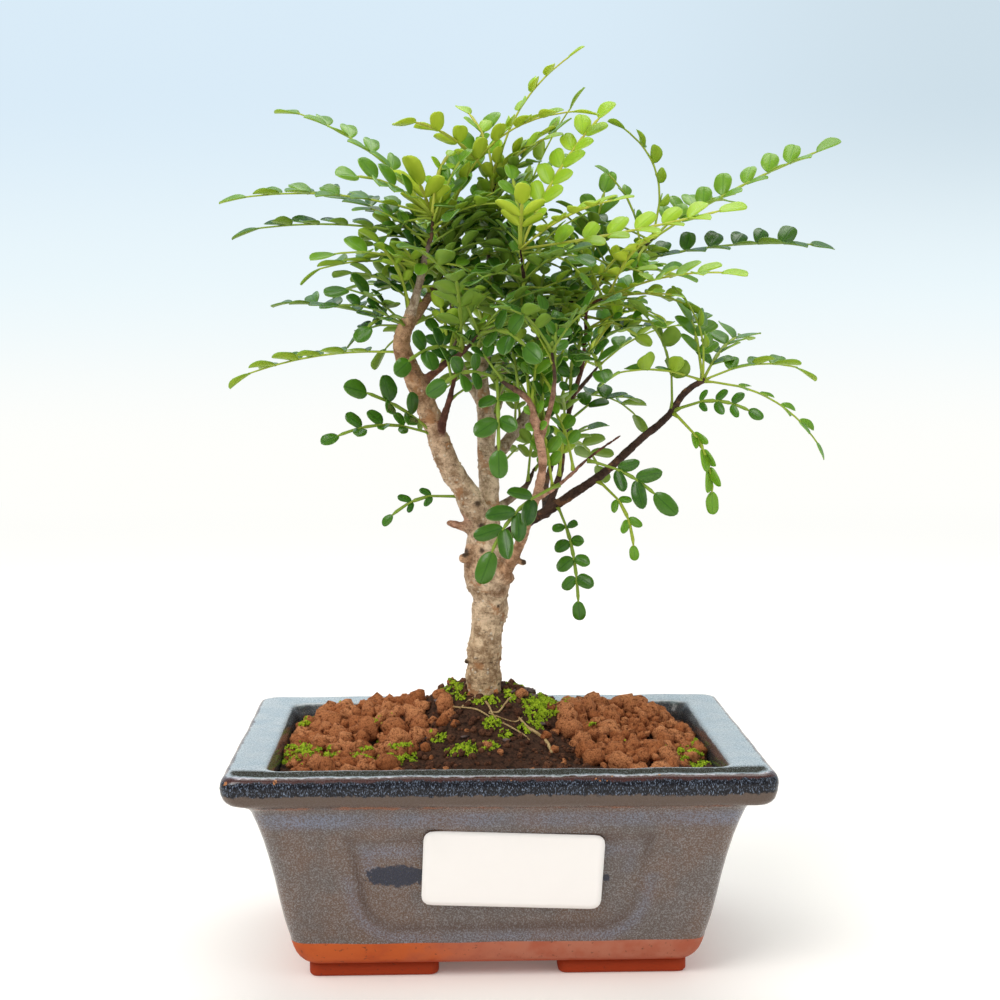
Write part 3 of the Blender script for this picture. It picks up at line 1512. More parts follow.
LIMBS = {
    "trunk": Limb(STRAW, PALE, (
        (-3, 4, 46, 6.4), (-3, 4, 58, 6), (-3, 4, 71, 5.4), (-3, 4, 82, 5.2), (-2, 4, 92, 5.2),
        (-1, 4, 101, 5.6), (-2, 4, 109, 7), (-3, 4, 116, 5.8), (-3, 4, 124, 5), (-4, 4, 129, 3.4),
    )),
    "trunk_knob_left": Limb(PALE, TAN, ((-4, 3, 113, 2.6), (-7.2, 0.4, 114, 2.1), (-8.9, -0.6, 114.2, 1.3))),
    "trunk_knob_right": Limb(PALE, TAN, ((1, 0, 107, 2.8), (3.6, -2, 108, 2.3), (5.2, -3, 109, 1.9))),
    "trunk_stub": Limb(PALE, ROSE, ((-5, 3, 121, 2.3), (-9, 1, 123, 1.6), (-12.6, 0.2, 124.2, 1.35))),
    "left_limb": Limb(PALE, TAN, (
        (-3, 4, 117, 4.4), (-7, 1, 131, 3.9), (-13, -3, 141, 3.5), (-17, -6, 151, 3.3), (-20, -7, 160, 3.2),
        (-24, -8, 169, 2.9), (-27, -8, 177, 2.7), (-25, -8, 184, 2.5),
    )),
    "left_limb_end": Limb(TAN, DARK, (
        (-26, -8, 181, 2.3), (-21, -4, 188, 1.8), (-17, 1, 194, 1.5), (-15, 5, 200, 1.2), (-15, 6, 207, 0.7),
    )),
    "left_crown": Limb(GREY, DARK, (
        (-25, -8, 184, 1.9), (-22, -10, 193, 1.5), (-20, -10, 202, 1.2), (-18, -8, 209, 0.9),
        (-18, -7, 215, 0.6),
    )),
    "left_inner": Limb(RED, RED, (
        (-16, -5, 149, 1.7), (-15, -11, 155, 1.4), (-13, -14, 162, 1.1), (-11, -16, 170, 0.9),
        (-9, -16, 177, 0.6),
    )),
    "left_stub": Limb(RED, DARK, (
        (-22, -7, 165, 1.7), (-15, -10, 171, 1.3), (-9, -16, 175, 1), (-4, -20, 181, 0.6),
    )),
    "centre_limb": Limb(PALE, GREY, (
        (-2, 5, 117, 4.2), (-1, 8, 131, 3.2), (-2, 10, 143, 2.9), (-2, 12, 154, 3), (-3, 14, 163, 2.5),
        (-3, 16, 171, 1.9),
    )),
    "centre_top": Limb(GREY, DARK, (
        (-3, 16, 169, 1.9), (-1, 18, 180, 1.5), (0, 18, 192, 1.3), (-1, 15, 204, 1), (-1, 11, 216, 0.8),
        (1, 8, 226, 0.6),
    )),
    "centre_right": Limb(GREY, DARK, (
        (-1, 10, 141, 2.6), (5, 18, 148, 2.2), (11, 24, 156, 1.9), (17, 26, 167, 1.6), (20, 24, 179, 1.4),
        (22, 21, 190, 1.1),
    )),
    "right_crown": Limb(DARK, DARK, (
        (21, 22, 187, 1.2), (32, 14, 195, 1), (41, 8, 202, 0.9), (48, 5, 209, 0.6),
    )),
    "front_right": Limb(TAN, ROSE, (
        (1, 1, 105, 2.4), (6.5, -7, 117, 1.9), (9.5, -14, 127, 1.7), (12, -20, 136, 1.6), (13, -24, 143, 1.6),
        (12, -26, 150, 1.6), (10, -28, 157, 1.5),
    )),
    "front_tip": Limb(ROSE, DARK, (
        (11, -27, 155, 1.4), (9, -27, 161, 1.2), (4, -25, 165, 1), (-1, -23, 168, 0.7),
    )),
    "front_up": Limb(ROSE, DARK, (
        (12, -25, 149, 1.3), (15, -28, 160, 1.1), (16, -29, 168, 0.9), (15, -29, 176, 0.6),
    )),
    "right_thin": Limb(ROSE, RED, (
        (12, -19, 133, 1.1), (19, -20, 138, 0.85), (27, -18, 145, 0.75), (36, -16, 151, 0.55),
    )),
    "right_limb": Limb(DARK, DARK, (
        (1, 7, 118, 2.3), (8, 10, 122, 2.0), (16, 8, 127, 1.8), (24, 2, 133, 1.65), (33, -4, 140, 1.55),
        (42, -8, 149, 1.5), (50, -10, 156, 1.4), (55, -10, 163, 1.3), (61, -10, 167, 1.1),
    )),
    "right_low": Limb(GREY, DARK, (
        (-1, 8, 127, 1.8), (5, 13, 130, 1.5), (10, 14, 134, 1.2), (13, 15, 140, 0.7),
    )),
    "mid_right": Limb(DARK, RED, (
        (16, 8, 127, 1.6), (20, 8, 138, 1.3), (21, 7, 148, 1.2), (23, 4, 159, 1.1), (26, 2, 170, 1),
        (27, 0, 180, 0.9), (28, 0, 188, 0.8), (36, -2, 192, 0.6),
    )),
    "mid_up": Limb(DARK, DARK, (
        (16, 25, 166, 1.5), (14, 12, 180, 1.2), (10, -3, 190, 1), (8, -11, 198, 0.8), (7, -16, 205, 0.6),
    )),
    "back_left": Limb(GREY, DARK, (
        (-2, 13, 157, 1.9), (-7, 27, 166, 1.6), (-11, 38, 177, 1.3), (-12, 42, 190, 1.1),
        (-12, 44, 203, 0.7),
    )),
    "back_mid": Limb(GREY, DARK, (
        (-2, 12, 149, 1.9), (3, 33, 161, 1.6), (6, 45, 177, 1.3), (7, 50, 192, 1.1), (8, 47, 205, 0.7),
    )),
    "back_right": Limb(GREY, DARK, (
        (8, 21, 152, 1.7), (18, 37, 155, 1.4), (28, 47, 162, 1.1), (37, 52, 172, 0.7),
    )),
    "back_low": Limb(DARK, DARK, (
        (16, 8, 126, 1.6), (17, 28, 133, 1.3), (20, 41, 140, 1.1), (22, 48, 148, 0.7),
    )),
}


@dataclass
class Wood:
    """Trunk, limbs and twigs, grown together into one skin with knots, rings and pimples."""

    voxel: float = 0.42
    ring_depth: float = 0.16
    old_girth: Pair = (1.4, 3.6)
    knot_spots: Sequence[Ball] = (
        (8.2, -5.4, 113.2, 1.5), (-8.5, -0.6, 113.9, 2.4), (-13.0, 0.1, 124.4, 1.45), (-8.3, 1.6, 82.5, 0.9),
        (1.9, 1.0, 91.0, 0.7), (-19.4, -10.0, 158.5, 0.9), (-10.6, -5.6, 139.0, 0.9), (1.4, 3.0, 77.0, 0.6),
    )
    scars: Sequence[Ball] = (
        (-4.8, -1.0, 130.4, 1.25), (-3.6, -2.0, 123.6, 1.3), (-3.7, -3.0, 116.3, 1.1), (-8.3, 0.8, 82.5, 0.9),
        (8.8, -5.8, 113.4, 1.6), (1.2, -1.4, 99.5, 0.6), (1.6, -0.6, 75.5, 0.6), (-8.6, -0.6, 115.4, 1.5),
    )

    def skin(self) -> BMesh:
        """All limbs and knots as closed tubes and balls, remeshed into one smooth skin.

        Returns:
            The skin's mesh.
        """
        bm = bmesh.new()
        for limb in LIMBS.values():
            sides = 16 if limb.points[0][3] > 3 else 10
            sweep(bm, limb.path.rings(5 * (len(limb.points) - 1), 0.16), sides)
        for x, y, z, radius in self.knot_spots:
            seat = Matrix.Translation((x, y, z)) @ Matrix.Diagonal((1.0, 1.0, 0.8, 1.0))
            bmesh.ops.create_icosphere(bm, subdivisions=2, radius=radius, matrix=seat)
        bmesh.ops.recalc_face_normals(bm, faces=bm.faces)
        rough = add_object("wood_blank", mesh_of(bm, "wood_blank"))
        remesh = rough.modifiers.new("grown_together", "REMESH")
        remesh.mode = "VOXEL"
        remesh.voxel_size = self.voxel
        graph = bpy.context.evaluated_depsgraph_get()
        skin = bmesh.new()
        skin.from_mesh(rough.evaluated_get(graph).to_mesh())
        bpy.data.objects.remove(rough)
        for _ in range(2):
            bmesh.ops.smooth_vert(
                skin, verts=skin.verts, factor=0.5, use_axis_x=True, use_axis_y=True, use_axis_z=True
            )
        return skin

    def samples(self) -> tuple[kdtree.KDTree, list[tuple[float, Vector]]]:
        """Points along all limbs.

        Returns:
            A tree to look them up in, and for each its radius and the bark's colour.
        """
        found: list[tuple[Vector, float, Vector]] = []
        for limb in LIMBS.values():
            path = limb.path
            steps = 4 * (len(limb.points) - 1)
            for step in range(steps + 1):
                share = step / steps
                colour = Vector(limb.start.value).lerp(Vector(limb.end.value), smoothstep(0.05, 0.8, share))
                found.append((path.place(share), path.radius(share), colour))
        tree = kdtree.KDTree(len(found))
        for index, (place, _, _) in enumerate(found):
            tree.insert(place, index)
        tree.balance()
        return tree, [(radius, colour) for _, radius, colour in found]

    def dress(self, bm: BMesh) -> BMesh:
        """Roughens the bark and notes its tone and age on every corner.

        Args:
            bm: the skin's mesh.

        Returns:
            The same mesh.
        """
        tree, facts = self.samples()
        tone = bm.verts.layers.float_color.new("tone")
        age = bm.verts.layers.float.new("age")
        scar = bm.verts.layers.float.new("scar")
        bm.normal_update()
        for vert in bm.verts:
            near = tree.find_n(vert.co, 4)
            total, mixed, girth = 0.0, Vector((0.0, 0.0, 0.0)), 0.0
            for _, index, distance in near:
                radius, colour = facts[index]
                weight = 1 / (0.25 + max(0.0, distance - radius)) ** 2
                total += weight
                mixed += colour * weight
                girth += radius * weight
            old = smoothstep(*self.old_girth, girth / total)
            vert[tone] = (*(mixed / total), 1.0)
            vert[age] = old
            place = vert.co
            for x, y, z, size in self.scars:
                far = math.hypot(place.x - x, place.z - z) / size * (1 + 0.4 * wobble(place, 1.0, 9.0))
                if far < 1.2 and abs(place.y - y) < 4.0:
                    vert[scar] = max(vert[scar], 0.95 * (1 - smoothstep(0.45, 1.0, far)))
            rings = wobble(Vector((place.x * 0.35, place.y * 0.35, place.z)), 2.1, 4.0)
            lumps = wobble(place, 6.0, 8.0)
            grit = wobble(place, 0.9, 6.0)
            pimple = smoothstep(0.4, 0.6, wobble(place, 1.1, 11.0))
            rise = old * (self.ring_depth * rings + 0.22 * lumps + 0.3 * pimple) + 0.09 * grit
            rise += (1 - old) * (0.16 * wobble(place, 1.6, 5.0) - 0.1) - 0.15
            vert.co += vert.normal * rise
        return bm

    def build(self) -> Object:
        """The wood's piece."""
        bm = self.dress(self.skin())
        return finish_piece("tree_wood", bm, [Bark().make()], ["trunk_and_branches"])


@dataclass
class LeafletShop:
    """Makes the leaflets that every frond is hung with."""

    long: float = 8.0
    wide: float = 5.4
    thick: float = 0.26
    kinds: int = 5
    blunt: float = 2.25
    patterns: dict[Tone, list[Mesh]] = field(default_factory=dict)

    def leaflet(self, tone: Tone, kind: int, cup: float, droop: float) -> Mesh:
        """One elliptic leaflet, a little wider towards its end.

        Args:
            tone: how old it is, which decides its materials.
            kind: which variant, which decides its small unevenness.
            cup: how much its margins rise above the midrib, as a share of its half width.
            droop: how much its end hangs, as a share of its length.

        Returns:
            Its mesh, which grows from the origin along +X, with its upper face towards +Z.
        """
        bm = leafy_mesh()
        bmesh.ops.create_grid(bm, x_segments=9, y_segments=2, size=1.0)
        map_layer = bm.loops.layers.uv["leaf"]
        for face in bm.faces:
            for loop in face.loops:
                place = loop.vert.co
                loop[map_layer].uv = (self.along(place.x), (place.y + 1) / 2)
        for vert in bm.verts:
            share, off = self.along(vert.co.x), vert.co.y
            ripe = clamp(share, 0.0, 1.0) ** 1.1
            half = self.wide / 2 * math.sqrt(max(0.0, 1 - abs(2 * ripe - 1) ** self.blunt))
            half *= 1 + 0.04 * math.sin(9.0 * share + kind * 1.9 + off)
            z = cup * abs(off) ** 1.6 * half - droop * self.long * share * share
            z += 0.16 * math.sin(5 * share + kind) * off
            vert.co = Vector((share * self.long, off * half, z))
        bmesh.ops.remove_doubles(bm, verts=bm.verts, dist=0.05)
        bm.normal_update()
        if sum(face.normal.z for face in bm.faces) < 0:
            bmesh.ops.reverse_faces(bm, faces=bm.faces)
        bmesh.ops.solidify(bm, geom=bm.faces[:], thickness=self.thick)
        bm.normal_update()
        for face in bm.faces:
            face.smooth = True
            face.material_index = tone.first_look + (1 if face.normal.z < -0.3 else 0)
        return mesh_of(bm, f"leaflet_{kind}")

    @staticmethod
    def along(x: float) -> float:
        """A share of the leaflet's length from a grid place between -1 and 1, closer near both ends."""
        return (1 - math.cos(math.pi * (x + 1) / 2)) / 2

    def prepare(self) -> None:
        """Makes the variants for each tone."""
        cups = {Tone.YOUNG: 0.14, Tone.MID: 0.16, Tone.DARK: 0.18}
        for tone, cup in cups.items():
            self.patterns[tone] = [
                self.leaflet(tone, kind, cup + 0.05 * kind, 0.03 + 0.03 * (kind % 3))
                for kind in range(self.kinds)
            ]


@dataclass(frozen=True)
class Rib:
    """The arched stalk of a frond."""

    base: Vector
    tip: Vector
    arch: float
    roll: float

    def middle(self) -> Vector:
        """The control point of the arch."""
        return (self.base + self.tip) / 2 + 2 * self.arch * self.upper()

    def upper(self) -> Vector:
        """The upward direction square to the chord.

        Returns:
            The direction. A stalk that hangs straight down takes one to its side.
        """
        forward = (self.tip - self.base).normalized()
        side = forward.cross(UP)
        if side.length < 0.2:
            side = Vector((1.0, 0.0, 0.0))
        return side.normalized().cross(forward)

    def frame(self, share: float) -> tuple[Vector, Vector, Vector, Vector]:
        """How the stalk stands a share of the way along.

        Args:
            share: from 0 at its base to 1 at its tip.

        Returns:
            The place there, and the directions along, across and out of the frond's upper side.
        """
        middle = self.middle()
        place = self.base * (1 - share) ** 2 + 2 * share * (1 - share) * middle + self.tip * share ** 2
        along = ((middle - self.base) * (1 - share) + (self.tip - middle) * share).normalized()
        across = along.cross(self.upper()).normalized()
        turned = Matrix.Rotation(self.roll, 3, along) @ across
        return place, along, turned, turned.cross(along)

    def long(self) -> float:
        """About how long the stalk is."""
        return (self.tip - self.base).length * (1 + 1.2 * (self.arch / (self.tip - self.base).length) ** 2)


@dataclass(frozen=True)
class FrondHabit:
    """How the leaflets stand on a frond.

    The two rows fold up and lean towards the frond's end by angles, which differ by the loose angle. The
    pitch parts the pairs. Size and slim scale a leaflet and its width.
    """

    fold: float
    lean: float
    pitch: float
    size: float = 1.0
    slim: float = 1.0
    loose: float = 0.2


class Stance(Enum):
    """The habits that fronds of this tree show."""

    OPEN = FrondHabit(0.42, 0.5, 7.8)
    FLAT = FrondHabit(0.3, 0.66, 8.2, 1.0, 0.92, 0.16)
    FRESH = FrondHabit(0.28, 0.6, 6.8, 0.9, 0.95, 0.18)
    FERN = FrondHabit(0.24, 0.52, 4.4, 1.5, 0.62, 0.08)
    BROAD = FrondHabit(0.2, 0.8, 6.4, 1.2, 0.74, 0.14)
    SMALL = FrondHabit(0.36, 0.5, 6.2, 0.72, 1.0, 0.22)
    TRAIL = FrondHabit(0.15, 0.75, 6.4, 0.7, 0.8, 0.15)
    CLOSED = FrondHabit(0.6, 1.2, 5.4, 0.85, 0.6, 0.06)


@dataclass
class Fronds:
    """Builds pinnate fronds: a slim winged stalk with leaflets in pairs and one at its end."""

    shop: LeafletShop
    stalk_half: float = 0.56
    end_tint: float = 0.7

    def grow(
        self, bm: BMesh, rib: Rib, tone: Tone, habit: FrondHabit, draw: random.Random
    ) -> None:
        """Adds one frond.

        Args:
            bm: the mesh that it is added to, with the layers of its leaflets.
            rib: its stalk.
            tone: how old it is.
            habit: how its leaflets stand.
            draw: the source of its small differences.
        """
        long = rib.long()
        scale = clamp(long / 34, 0.7, 1.0) * habit.size
        end = max(0.7, 1 - self.shop.long * scale * 0.95 / long)
        first = clamp(9.0 / long, 0.16, 0.34)
        pairs = max(2, min(9, round((end - first) * long / habit.pitch)))
        mood = draw.random()
        shares = [blend(first, end - 0.02, pair / pairs) for pair in range(pairs)]
        self.stalk(bm, rib, shares, end, tone)
        for index, share in enumerate(shares):
            swell = scale * blend(0.78, 1.0, min(1.0, (index + 0.6) / 2.0))
            for side in (1, -1):
                matrix = self.seat(rib, share + draw.uniform(-0.006, 0.006), side, habit, draw)
                size = swell * draw.uniform(0.88, 1.08)
                shrink = Matrix.Diagonal((size, size * habit.slim, size, 1.0))
                tint = clamp(0.55 * mood + 0.35 * share + draw.uniform(-0.25, 0.25), 0.0, 1.0)
                stamp(bm, draw.choice(self.shop.patterns[tone]), matrix @ shrink, tint)
        place, along, across, normal = rib.frame(end)
        tilt = Matrix.Rotation(draw.uniform(-0.15, 0.3), 4, "Y")
        shrink = Matrix.Diagonal((scale, scale * (1 + habit.slim) / 2, scale, 1.0))
        matrix = stand(place, along, -across, normal) @ tilt @ shrink
        stamp(bm, draw.choice(self.shop.patterns[tone]), matrix, self.end_tint)

    def seat(self, rib: Rib, share: float, side: int, habit: FrondHabit, draw: random.Random) -> Matrix:
        """Where one leaflet stands.

        Args:
            rib: the stalk.
            share: how far along the stalk.
            side: 1 for the right, -1 for the left.
            habit: how leaflets stand on this frond.
            draw: the source of its small differences.

        Returns:
            The matrix that places a leaflet there.
        """
        place, along, across, normal = rib.frame(share)
        fold = habit.fold + draw.uniform(-habit.loose, habit.loose)
        lean = habit.lean + 0.25 * share + draw.uniform(-0.12, 0.12)
        out = across * side * math.cos(fold) + normal * math.sin(fold)
        axis = out * math.cos(lean) + along * math.sin(lean)
        upward = normal * math.cos(fold) - across * side * math.sin(fold)
        twist = Matrix.Rotation(1.3 * draw.uniform(-habit.loose, habit.loose), 4, "X")
        root = place + across * side * self.stalk_half * 0.6
        return stand(root, axis, upward.cross(axis), upward) @ twist

    def stalk(self, bm: BMesh, rib: Rib, shares: Sequence[float], end: float, tone: Tone) -> None:
        """Adds the stalk, slim at each pair and slightly winged between pairs.

        Args:
            bm: the mesh that it is added to.
            rib: its curve.
            shares: where the pairs of leaflets stand.
            end: where the end leaflet starts.
            tone: how old it is.
        """
        stations = [(0.0, 1.5), (shares[0] * 0.25, 0.9)]
        for near, far in zip(shares, [*shares[1:], end]):
            stations += [(near, 0.8), (blend(near, far, 0.25), 1.15), (blend(near, far, 0.8), 1.5)]
        stations.append((end + 0.01, 0.6))
        rings = []
        for share, swell in stations:
            place, along, across, normal = rib.frame(share)
            thin = blend(1.0, 0.62, share)
            wide = across * self.stalk_half * swell * thin
            high = normal * self.stalk_half * 0.65 * thin * (1.5 if share == 0.0 else 1.0)
            rings.append(stand(place, wide, high, along))
        verts = sweep(bm, rings, 6)
        faces = list({face for vert in verts for face in vert.link_faces})
        for face in faces:
            face.material_index = tone.first_look + 2
        bmesh.ops.recalc_face_normals(bm, faces=faces)


YOUNG, MID, OLD = Tone
OPEN, FLAT, FRESH, FERN, BROAD, SMALL, TRAIL, CLOSED = Stance

# Leafy sprays: the limb and the share along it, the tone, and each frond's tip, arch and roll, then its
# stance where that isn't open or fresh, and its tone where that differs from the spray's.
SPRAYS = {
    "centre_top_end": ("centre_top", 0.97, YOUNG, (
        (27, 5, 264, 6, 0.3, SMALL), (-29, -15, 240, 5, 0.3, FLAT), (20, -2, 238, 3, 0.4, FLAT),
        (-10, 24, 250, 4, 0.0, FRESH),
    )),
    "left_end_top": ("left_limb_end", 0.96, MID, (
        (31, -12, 243, 14, 0.2, FLAT, YOUNG), (2, 22, 247, 4, 0.2), (-24.4, -14, 229, 1, 0.0, FERN, YOUNG),
    )),
    "left_crown_top": ("left_crown", 0.96, MID, (
        (-64, 10, 247, 5, -0.1, FLAT), (-79, -5, 218, 4, -0.2, FLAT), (-44, -32, 222, 4, -0.9),
    )),
    "left_crown_side": ("left_crown", 0.7, OLD, (
        (-60, 25, 224, 3, -0.3, FLAT), (-74, -20, 208, 3, -0.1, FLAT),
    )),
    "left_crown_low": ("left_crown", 0.42, MID, ((-51, -30, 200, 3, -0.3), (-58, 8, 197, 3, -0.2, FLAT))),
    "left_knot": ("left_limb", 0.97, OLD, (
        (-46, -35, 192, 3, -0.4), (-67, 25, 190, 2, -0.1, FLAT), (-50, -14, 187, 3, -0.3),
        (-38, -36, 178, 4, -0.4), (-43, -2, 176, 3, -0.3),
    )),
    "left_limb_upper": ("left_limb", 0.82, MID, ((-79, 8, 166, 3, 0.1, FLAT),)),
    "left_limb_lower": ("left_limb", 0.43, OLD, ((-42, -28, 165, 2, -1.2), (-49, -25, 149, 4, -0.8, SMALL))),
    "left_low": ("left_limb", 0.16, OLD, ((-33, -5, 124, 4, -1.0, TRAIL),)),
    "centre_top_side": ("centre_top", 0.72, OLD, ((-14, -24, 212, 4, 0.3), (-26, 32, 212, 4, -0.3))),
    "centre_top_low": ("centre_top", 0.42, OLD, ((-30, 30, 196, 3, 0.0), (24, 44, 190, 4, 0.3))),
    "mid_up_top": ("mid_up", 0.96, YOUNG, (
        (7, -30, 220, 1, 0.0, FERN), (35, 0, 247, 3, 0.3), (70, -22, 216, -1, 0.5, FLAT),
        (36, -42, 216, 3, 0.4),
    )),
    "mid_up_side": ("mid_up", 0.66, OLD, ((-8, -40, 192, 3, 0.2), (25, -42, 199, 4, 0.3))),
    "right_crown_end": ("right_crown", 0.96, MID, (
        (104, 10, 237, 2, 0.6), (34, 9, 244, 8, 0.4, SMALL), (78, 34, 222, 4, 0.3),
    )),
    "right_crown_side": ("right_crown", 0.62, OLD, ((105, 20, 207, 3, 0.5),)),
    "right_crown_low": ("right_crown", 0.26, MID, ((37, 26, 230, 3, 0.3), (58, 40, 200, 4, 0.2))),
    "mid_right_end": ("mid_right", 0.96, YOUNG, ((69, -30, 196, 3, 0.4, FLAT), (44, -34, 206, 4, 0.3))),
    "mid_right_side": ("mid_right", 0.62, OLD, (
        (52, 14, 182, 4, 0.3), (8, -4, 184, 4, -0.2), (29, -40, 166, 4, 0.3),
    )),
    "mid_right_low": ("mid_right", 0.36, OLD, ((46, 24, 160, 4, 0.3),)),
    "front_up_end": ("front_up", 0.95, OLD, ((32, -52, 188, 4, 0.4), (-2, -50, 186, 4, 0.0))),
    "front_tip_end": ("front_tip", 0.93, OLD, ((0, -40, 140, 6, 0.1), (-18, -46, 163, 4, -1.2))),
    "left_inner_end": ("left_inner", 0.94, OLD, ((-12, -46, 196, 4, 0.2), (-28, -40, 168, 4, -1.1))),
    "left_stub_end": ("left_stub", 0.94, OLD, ((10, -48, 172, 4, 1.1), (-26, -48, 204, 5, -0.2))),
    "back_left_end": ("back_left", 0.96, MID, ((-32, 52, 220, 4, 0.0), (-6, 50, 241, 4, 0.2))),
    "back_left_side": ("back_left", 0.7, OLD, ((-47, 55, 196, 4, 0.0), (-38, 58, 170, 4, 0.0))),
    "back_mid_end": ("back_mid", 0.96, MID, (
        (17, 62, 230, 4, 0.0), (30, 38, 257, 5, 0.3), (40, 66, 208, 4, 0.0),
    )),
    "back_mid_side": ("back_mid", 0.68, OLD, ((-14, 76, 192, 4, 0.0),)),
    "back_mid_low": ("back_mid", 0.42, OLD, ((8, 76, 158, 4, 0.0), (-24, 58, 150, 5, 0.0))),
    "back_right_end": ("back_right", 0.94, MID, ((70, 62, 184, 4, 0.0), (56, 68, 206, 4, 0.0))),
    "back_right_side": ("back_right", 0.6, OLD, ((54, 72, 149, 5, 0.0),)),
    "back_low_end": ("back_low", 0.94, OLD, ((40, 74, 130, 6, 0.0), (2, 66, 132, 5, 0.0))),
    "right_low_end": ("right_low", 0.93, OLD, ((37, 34, 151, 4, 0.2),)),
    "right_end": ("right_limb", 0.985, MID, (
        (28, -24, 167, 3, 0.2), (52, -5, 194, 4, 0.3), (58, 18, 190, 4, 0.2), (95, -18, 144, 6, 0.1, TRAIL),
        (97, 4, 168, 4, 0.2, FLAT), (82, 35, 180, 4, 0.2),
    )),
    "right_bend": ("right_limb", 0.78, OLD, (
        (74, -30, 156, 4, 1.3, TRAIL), (61, -22, 128, 6, 0.87, CLOSED, MID), (38, -14, 190, 5, 0.2),
    )),
    "right_inner": ("right_limb", 0.46, MID, ((40, -14, 114, 5, 0.87, TRAIL),)),
    "right_root": ("right_limb", 0.3, OLD, ((24, -16, 97, 6, 0.35, SMALL),)),
    "right_thin_end": ("right_thin", 0.62, OLD, ((49.4, -30, 129, 3, 1.3, BROAD),)),
    "right_thin_low": ("right_thin", 0.3, OLD, ((-4, -33, 110, 6, -1.0, BROAD),)),
}

# Regions of the crown that many smaller fronds fill: middle, half widths, number and tone.
THICKETS = {
    "crown_middle": ((6, 6, 212), (30, 26, 22), 52, OLD),
    "crown_heart": ((8, -4, 186), (26, 24, 16), 46, OLD),
    "crown_low": ((14, -10, 166), (18, 22, 12), 18, OLD),
    "crown_left": ((-30, 0, 203), (20, 24, 20), 26, OLD),
    "crown_right": ((42, 0, 188), (22, 24, 20), 26, MID),
    "crown_back": ((8, 44, 188), (34, 20, 32), 40, OLD),
    "crown_top": ((10, 8, 236), (26, 18, 12), 18, MID),
}


@dataclass
class Foliage:
    """All leafy sprays, and the smaller fronds that fill the crown between them."""

    fronds: Fronds
    thin_limb: float = 2.3
    looks: list[Material] = field(default_factory=list)

    def prepare(self) -> None:
        """Makes the materials of each tone: upper face, underside and stalk."""
        for tone in Tone:
            self.looks += [SKINS[tone].make(), BACKS[tone].make(), STALKS[tone].make()]

    def used_looks(self, bm: BMesh) -> list[Material]:
        """Numbers a mesh's material indices anew without gaps.

        Args:
            bm: the mesh of one piece.

        Returns:
            The materials that it uses, in the order of the new indices.
        """
        used = sorted({face.material_index for face in bm.faces})
        for face in bm.faces:
            face.material_index = used.index(face.material_index)
        return [self.looks[index] for index in used]

    def spray(self, name: str) -> Object:
        """One spray's piece, which stands for the CAD node of its name.

        Args:
            name: the spray's name.

        Returns:
            The piece's object.
        """
        limb, share, tone, tips = SPRAYS[name]
        path = LIMBS[limb].path
        centre = path.place(share)
        bm = leafy_mesh()
        draw = random.Random(name)
        for x, y, z, arch, roll, *special in tips:
            tip = Vector((x, y, z))
            aim = (tip - centre).normalized()
            base = centre + aim * path.radius(share) * 0.5
            own = special[1] if len(special) > 1 else tone
            stance = special[0] if special else FRESH if own is YOUNG else OPEN
            rib = Rib(base, tip, arch, roll + draw.uniform(-0.12, 0.12))
            self.fronds.grow(bm, rib, own, stance.value, draw)
        return finish_piece(f"{name}_fronds", bm, self.used_looks(bm), [f"spray_{name}"])

    def twig_places(self) -> list[tuple[Vector, float]]:
        """Places along the thinner limbs that a small frond may grow from.

        Returns:
            The places, each with the limb's radius.
        """
        found = []
        for limb in LIMBS.values():
            path = limb.path
            for step in range(1, 16):
                share = step / 15
                if path.radius(share) < self.thin_limb:
                    found.append((path.place(share), path.radius(share)))
        return found

    def thicket(self, name: str, places: Sequence[tuple[Vector, float]]) -> Object:
        """One region's piece of smaller fronds.

        Args:
            name: the region's name.
            places: where fronds may grow from, each with the limb's radius.

        Returns:
            The piece's object.
        """
        centre, half, count, tone = THICKETS[name]
        draw = random.Random(name)
        bm = leafy_mesh()
        for _ in range(count):
            way = Vector((draw.gauss(0, 1), draw.gauss(0, 1), draw.gauss(0, 1))).normalized()
            far = draw.random() ** 0.5
            goal = Vector(centre) + Vector([axis * size * far for axis, size in zip(way, half)])
            ranked = sorted(places, key=lambda item: abs((item[0] - goal).length - 27))
            start, radius = ranked[draw.randrange(6)]
            aim = (goal - start).normalized()
            long = clamp((goal - start).length, 24, 42)
            tip = start + Vector((aim.x, aim.y, clamp(aim.z, -0.4, 0.75))) * long
            own = draw.choice((tone, tone, MID, YOUNG if tone is MID else MID))
            stance = draw.choice((OPEN, OPEN, FLAT, FLAT, SMALL))
            rib = Rib(start + aim * radius * 0.5, tip, draw.uniform(1, 4), draw.uniform(-0.5, 0.5))
            self.fronds.grow(bm, rib, own, stance.value, draw)
        return finish_piece(f"{name}_fronds", bm, self.used_looks(bm))

    def build(self) -> None:
        """All pieces of foliage."""
        self.prepare()
        for name in SPRAYS:
            self.spray(name)
        places = self.twig_places()
        for name in THICKETS:
            self.thicket(name, places)


@dataclass
class DrainScreens:
    """The two drain screens, whose CAD shapes stay and take a finish."""

    nodes: tuple[str, str] = ("drain_screen_left", "drain_screen_right")

    def dress(self) -> None:
        """Gives both screens their plastic."""
        plastic = ScreenPlastic().make()
        for name in self.nodes:
            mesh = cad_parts[name].data
            mesh.materials.clear()
            mesh.materials.append(plastic)
            log.info("%s: plastic", name)


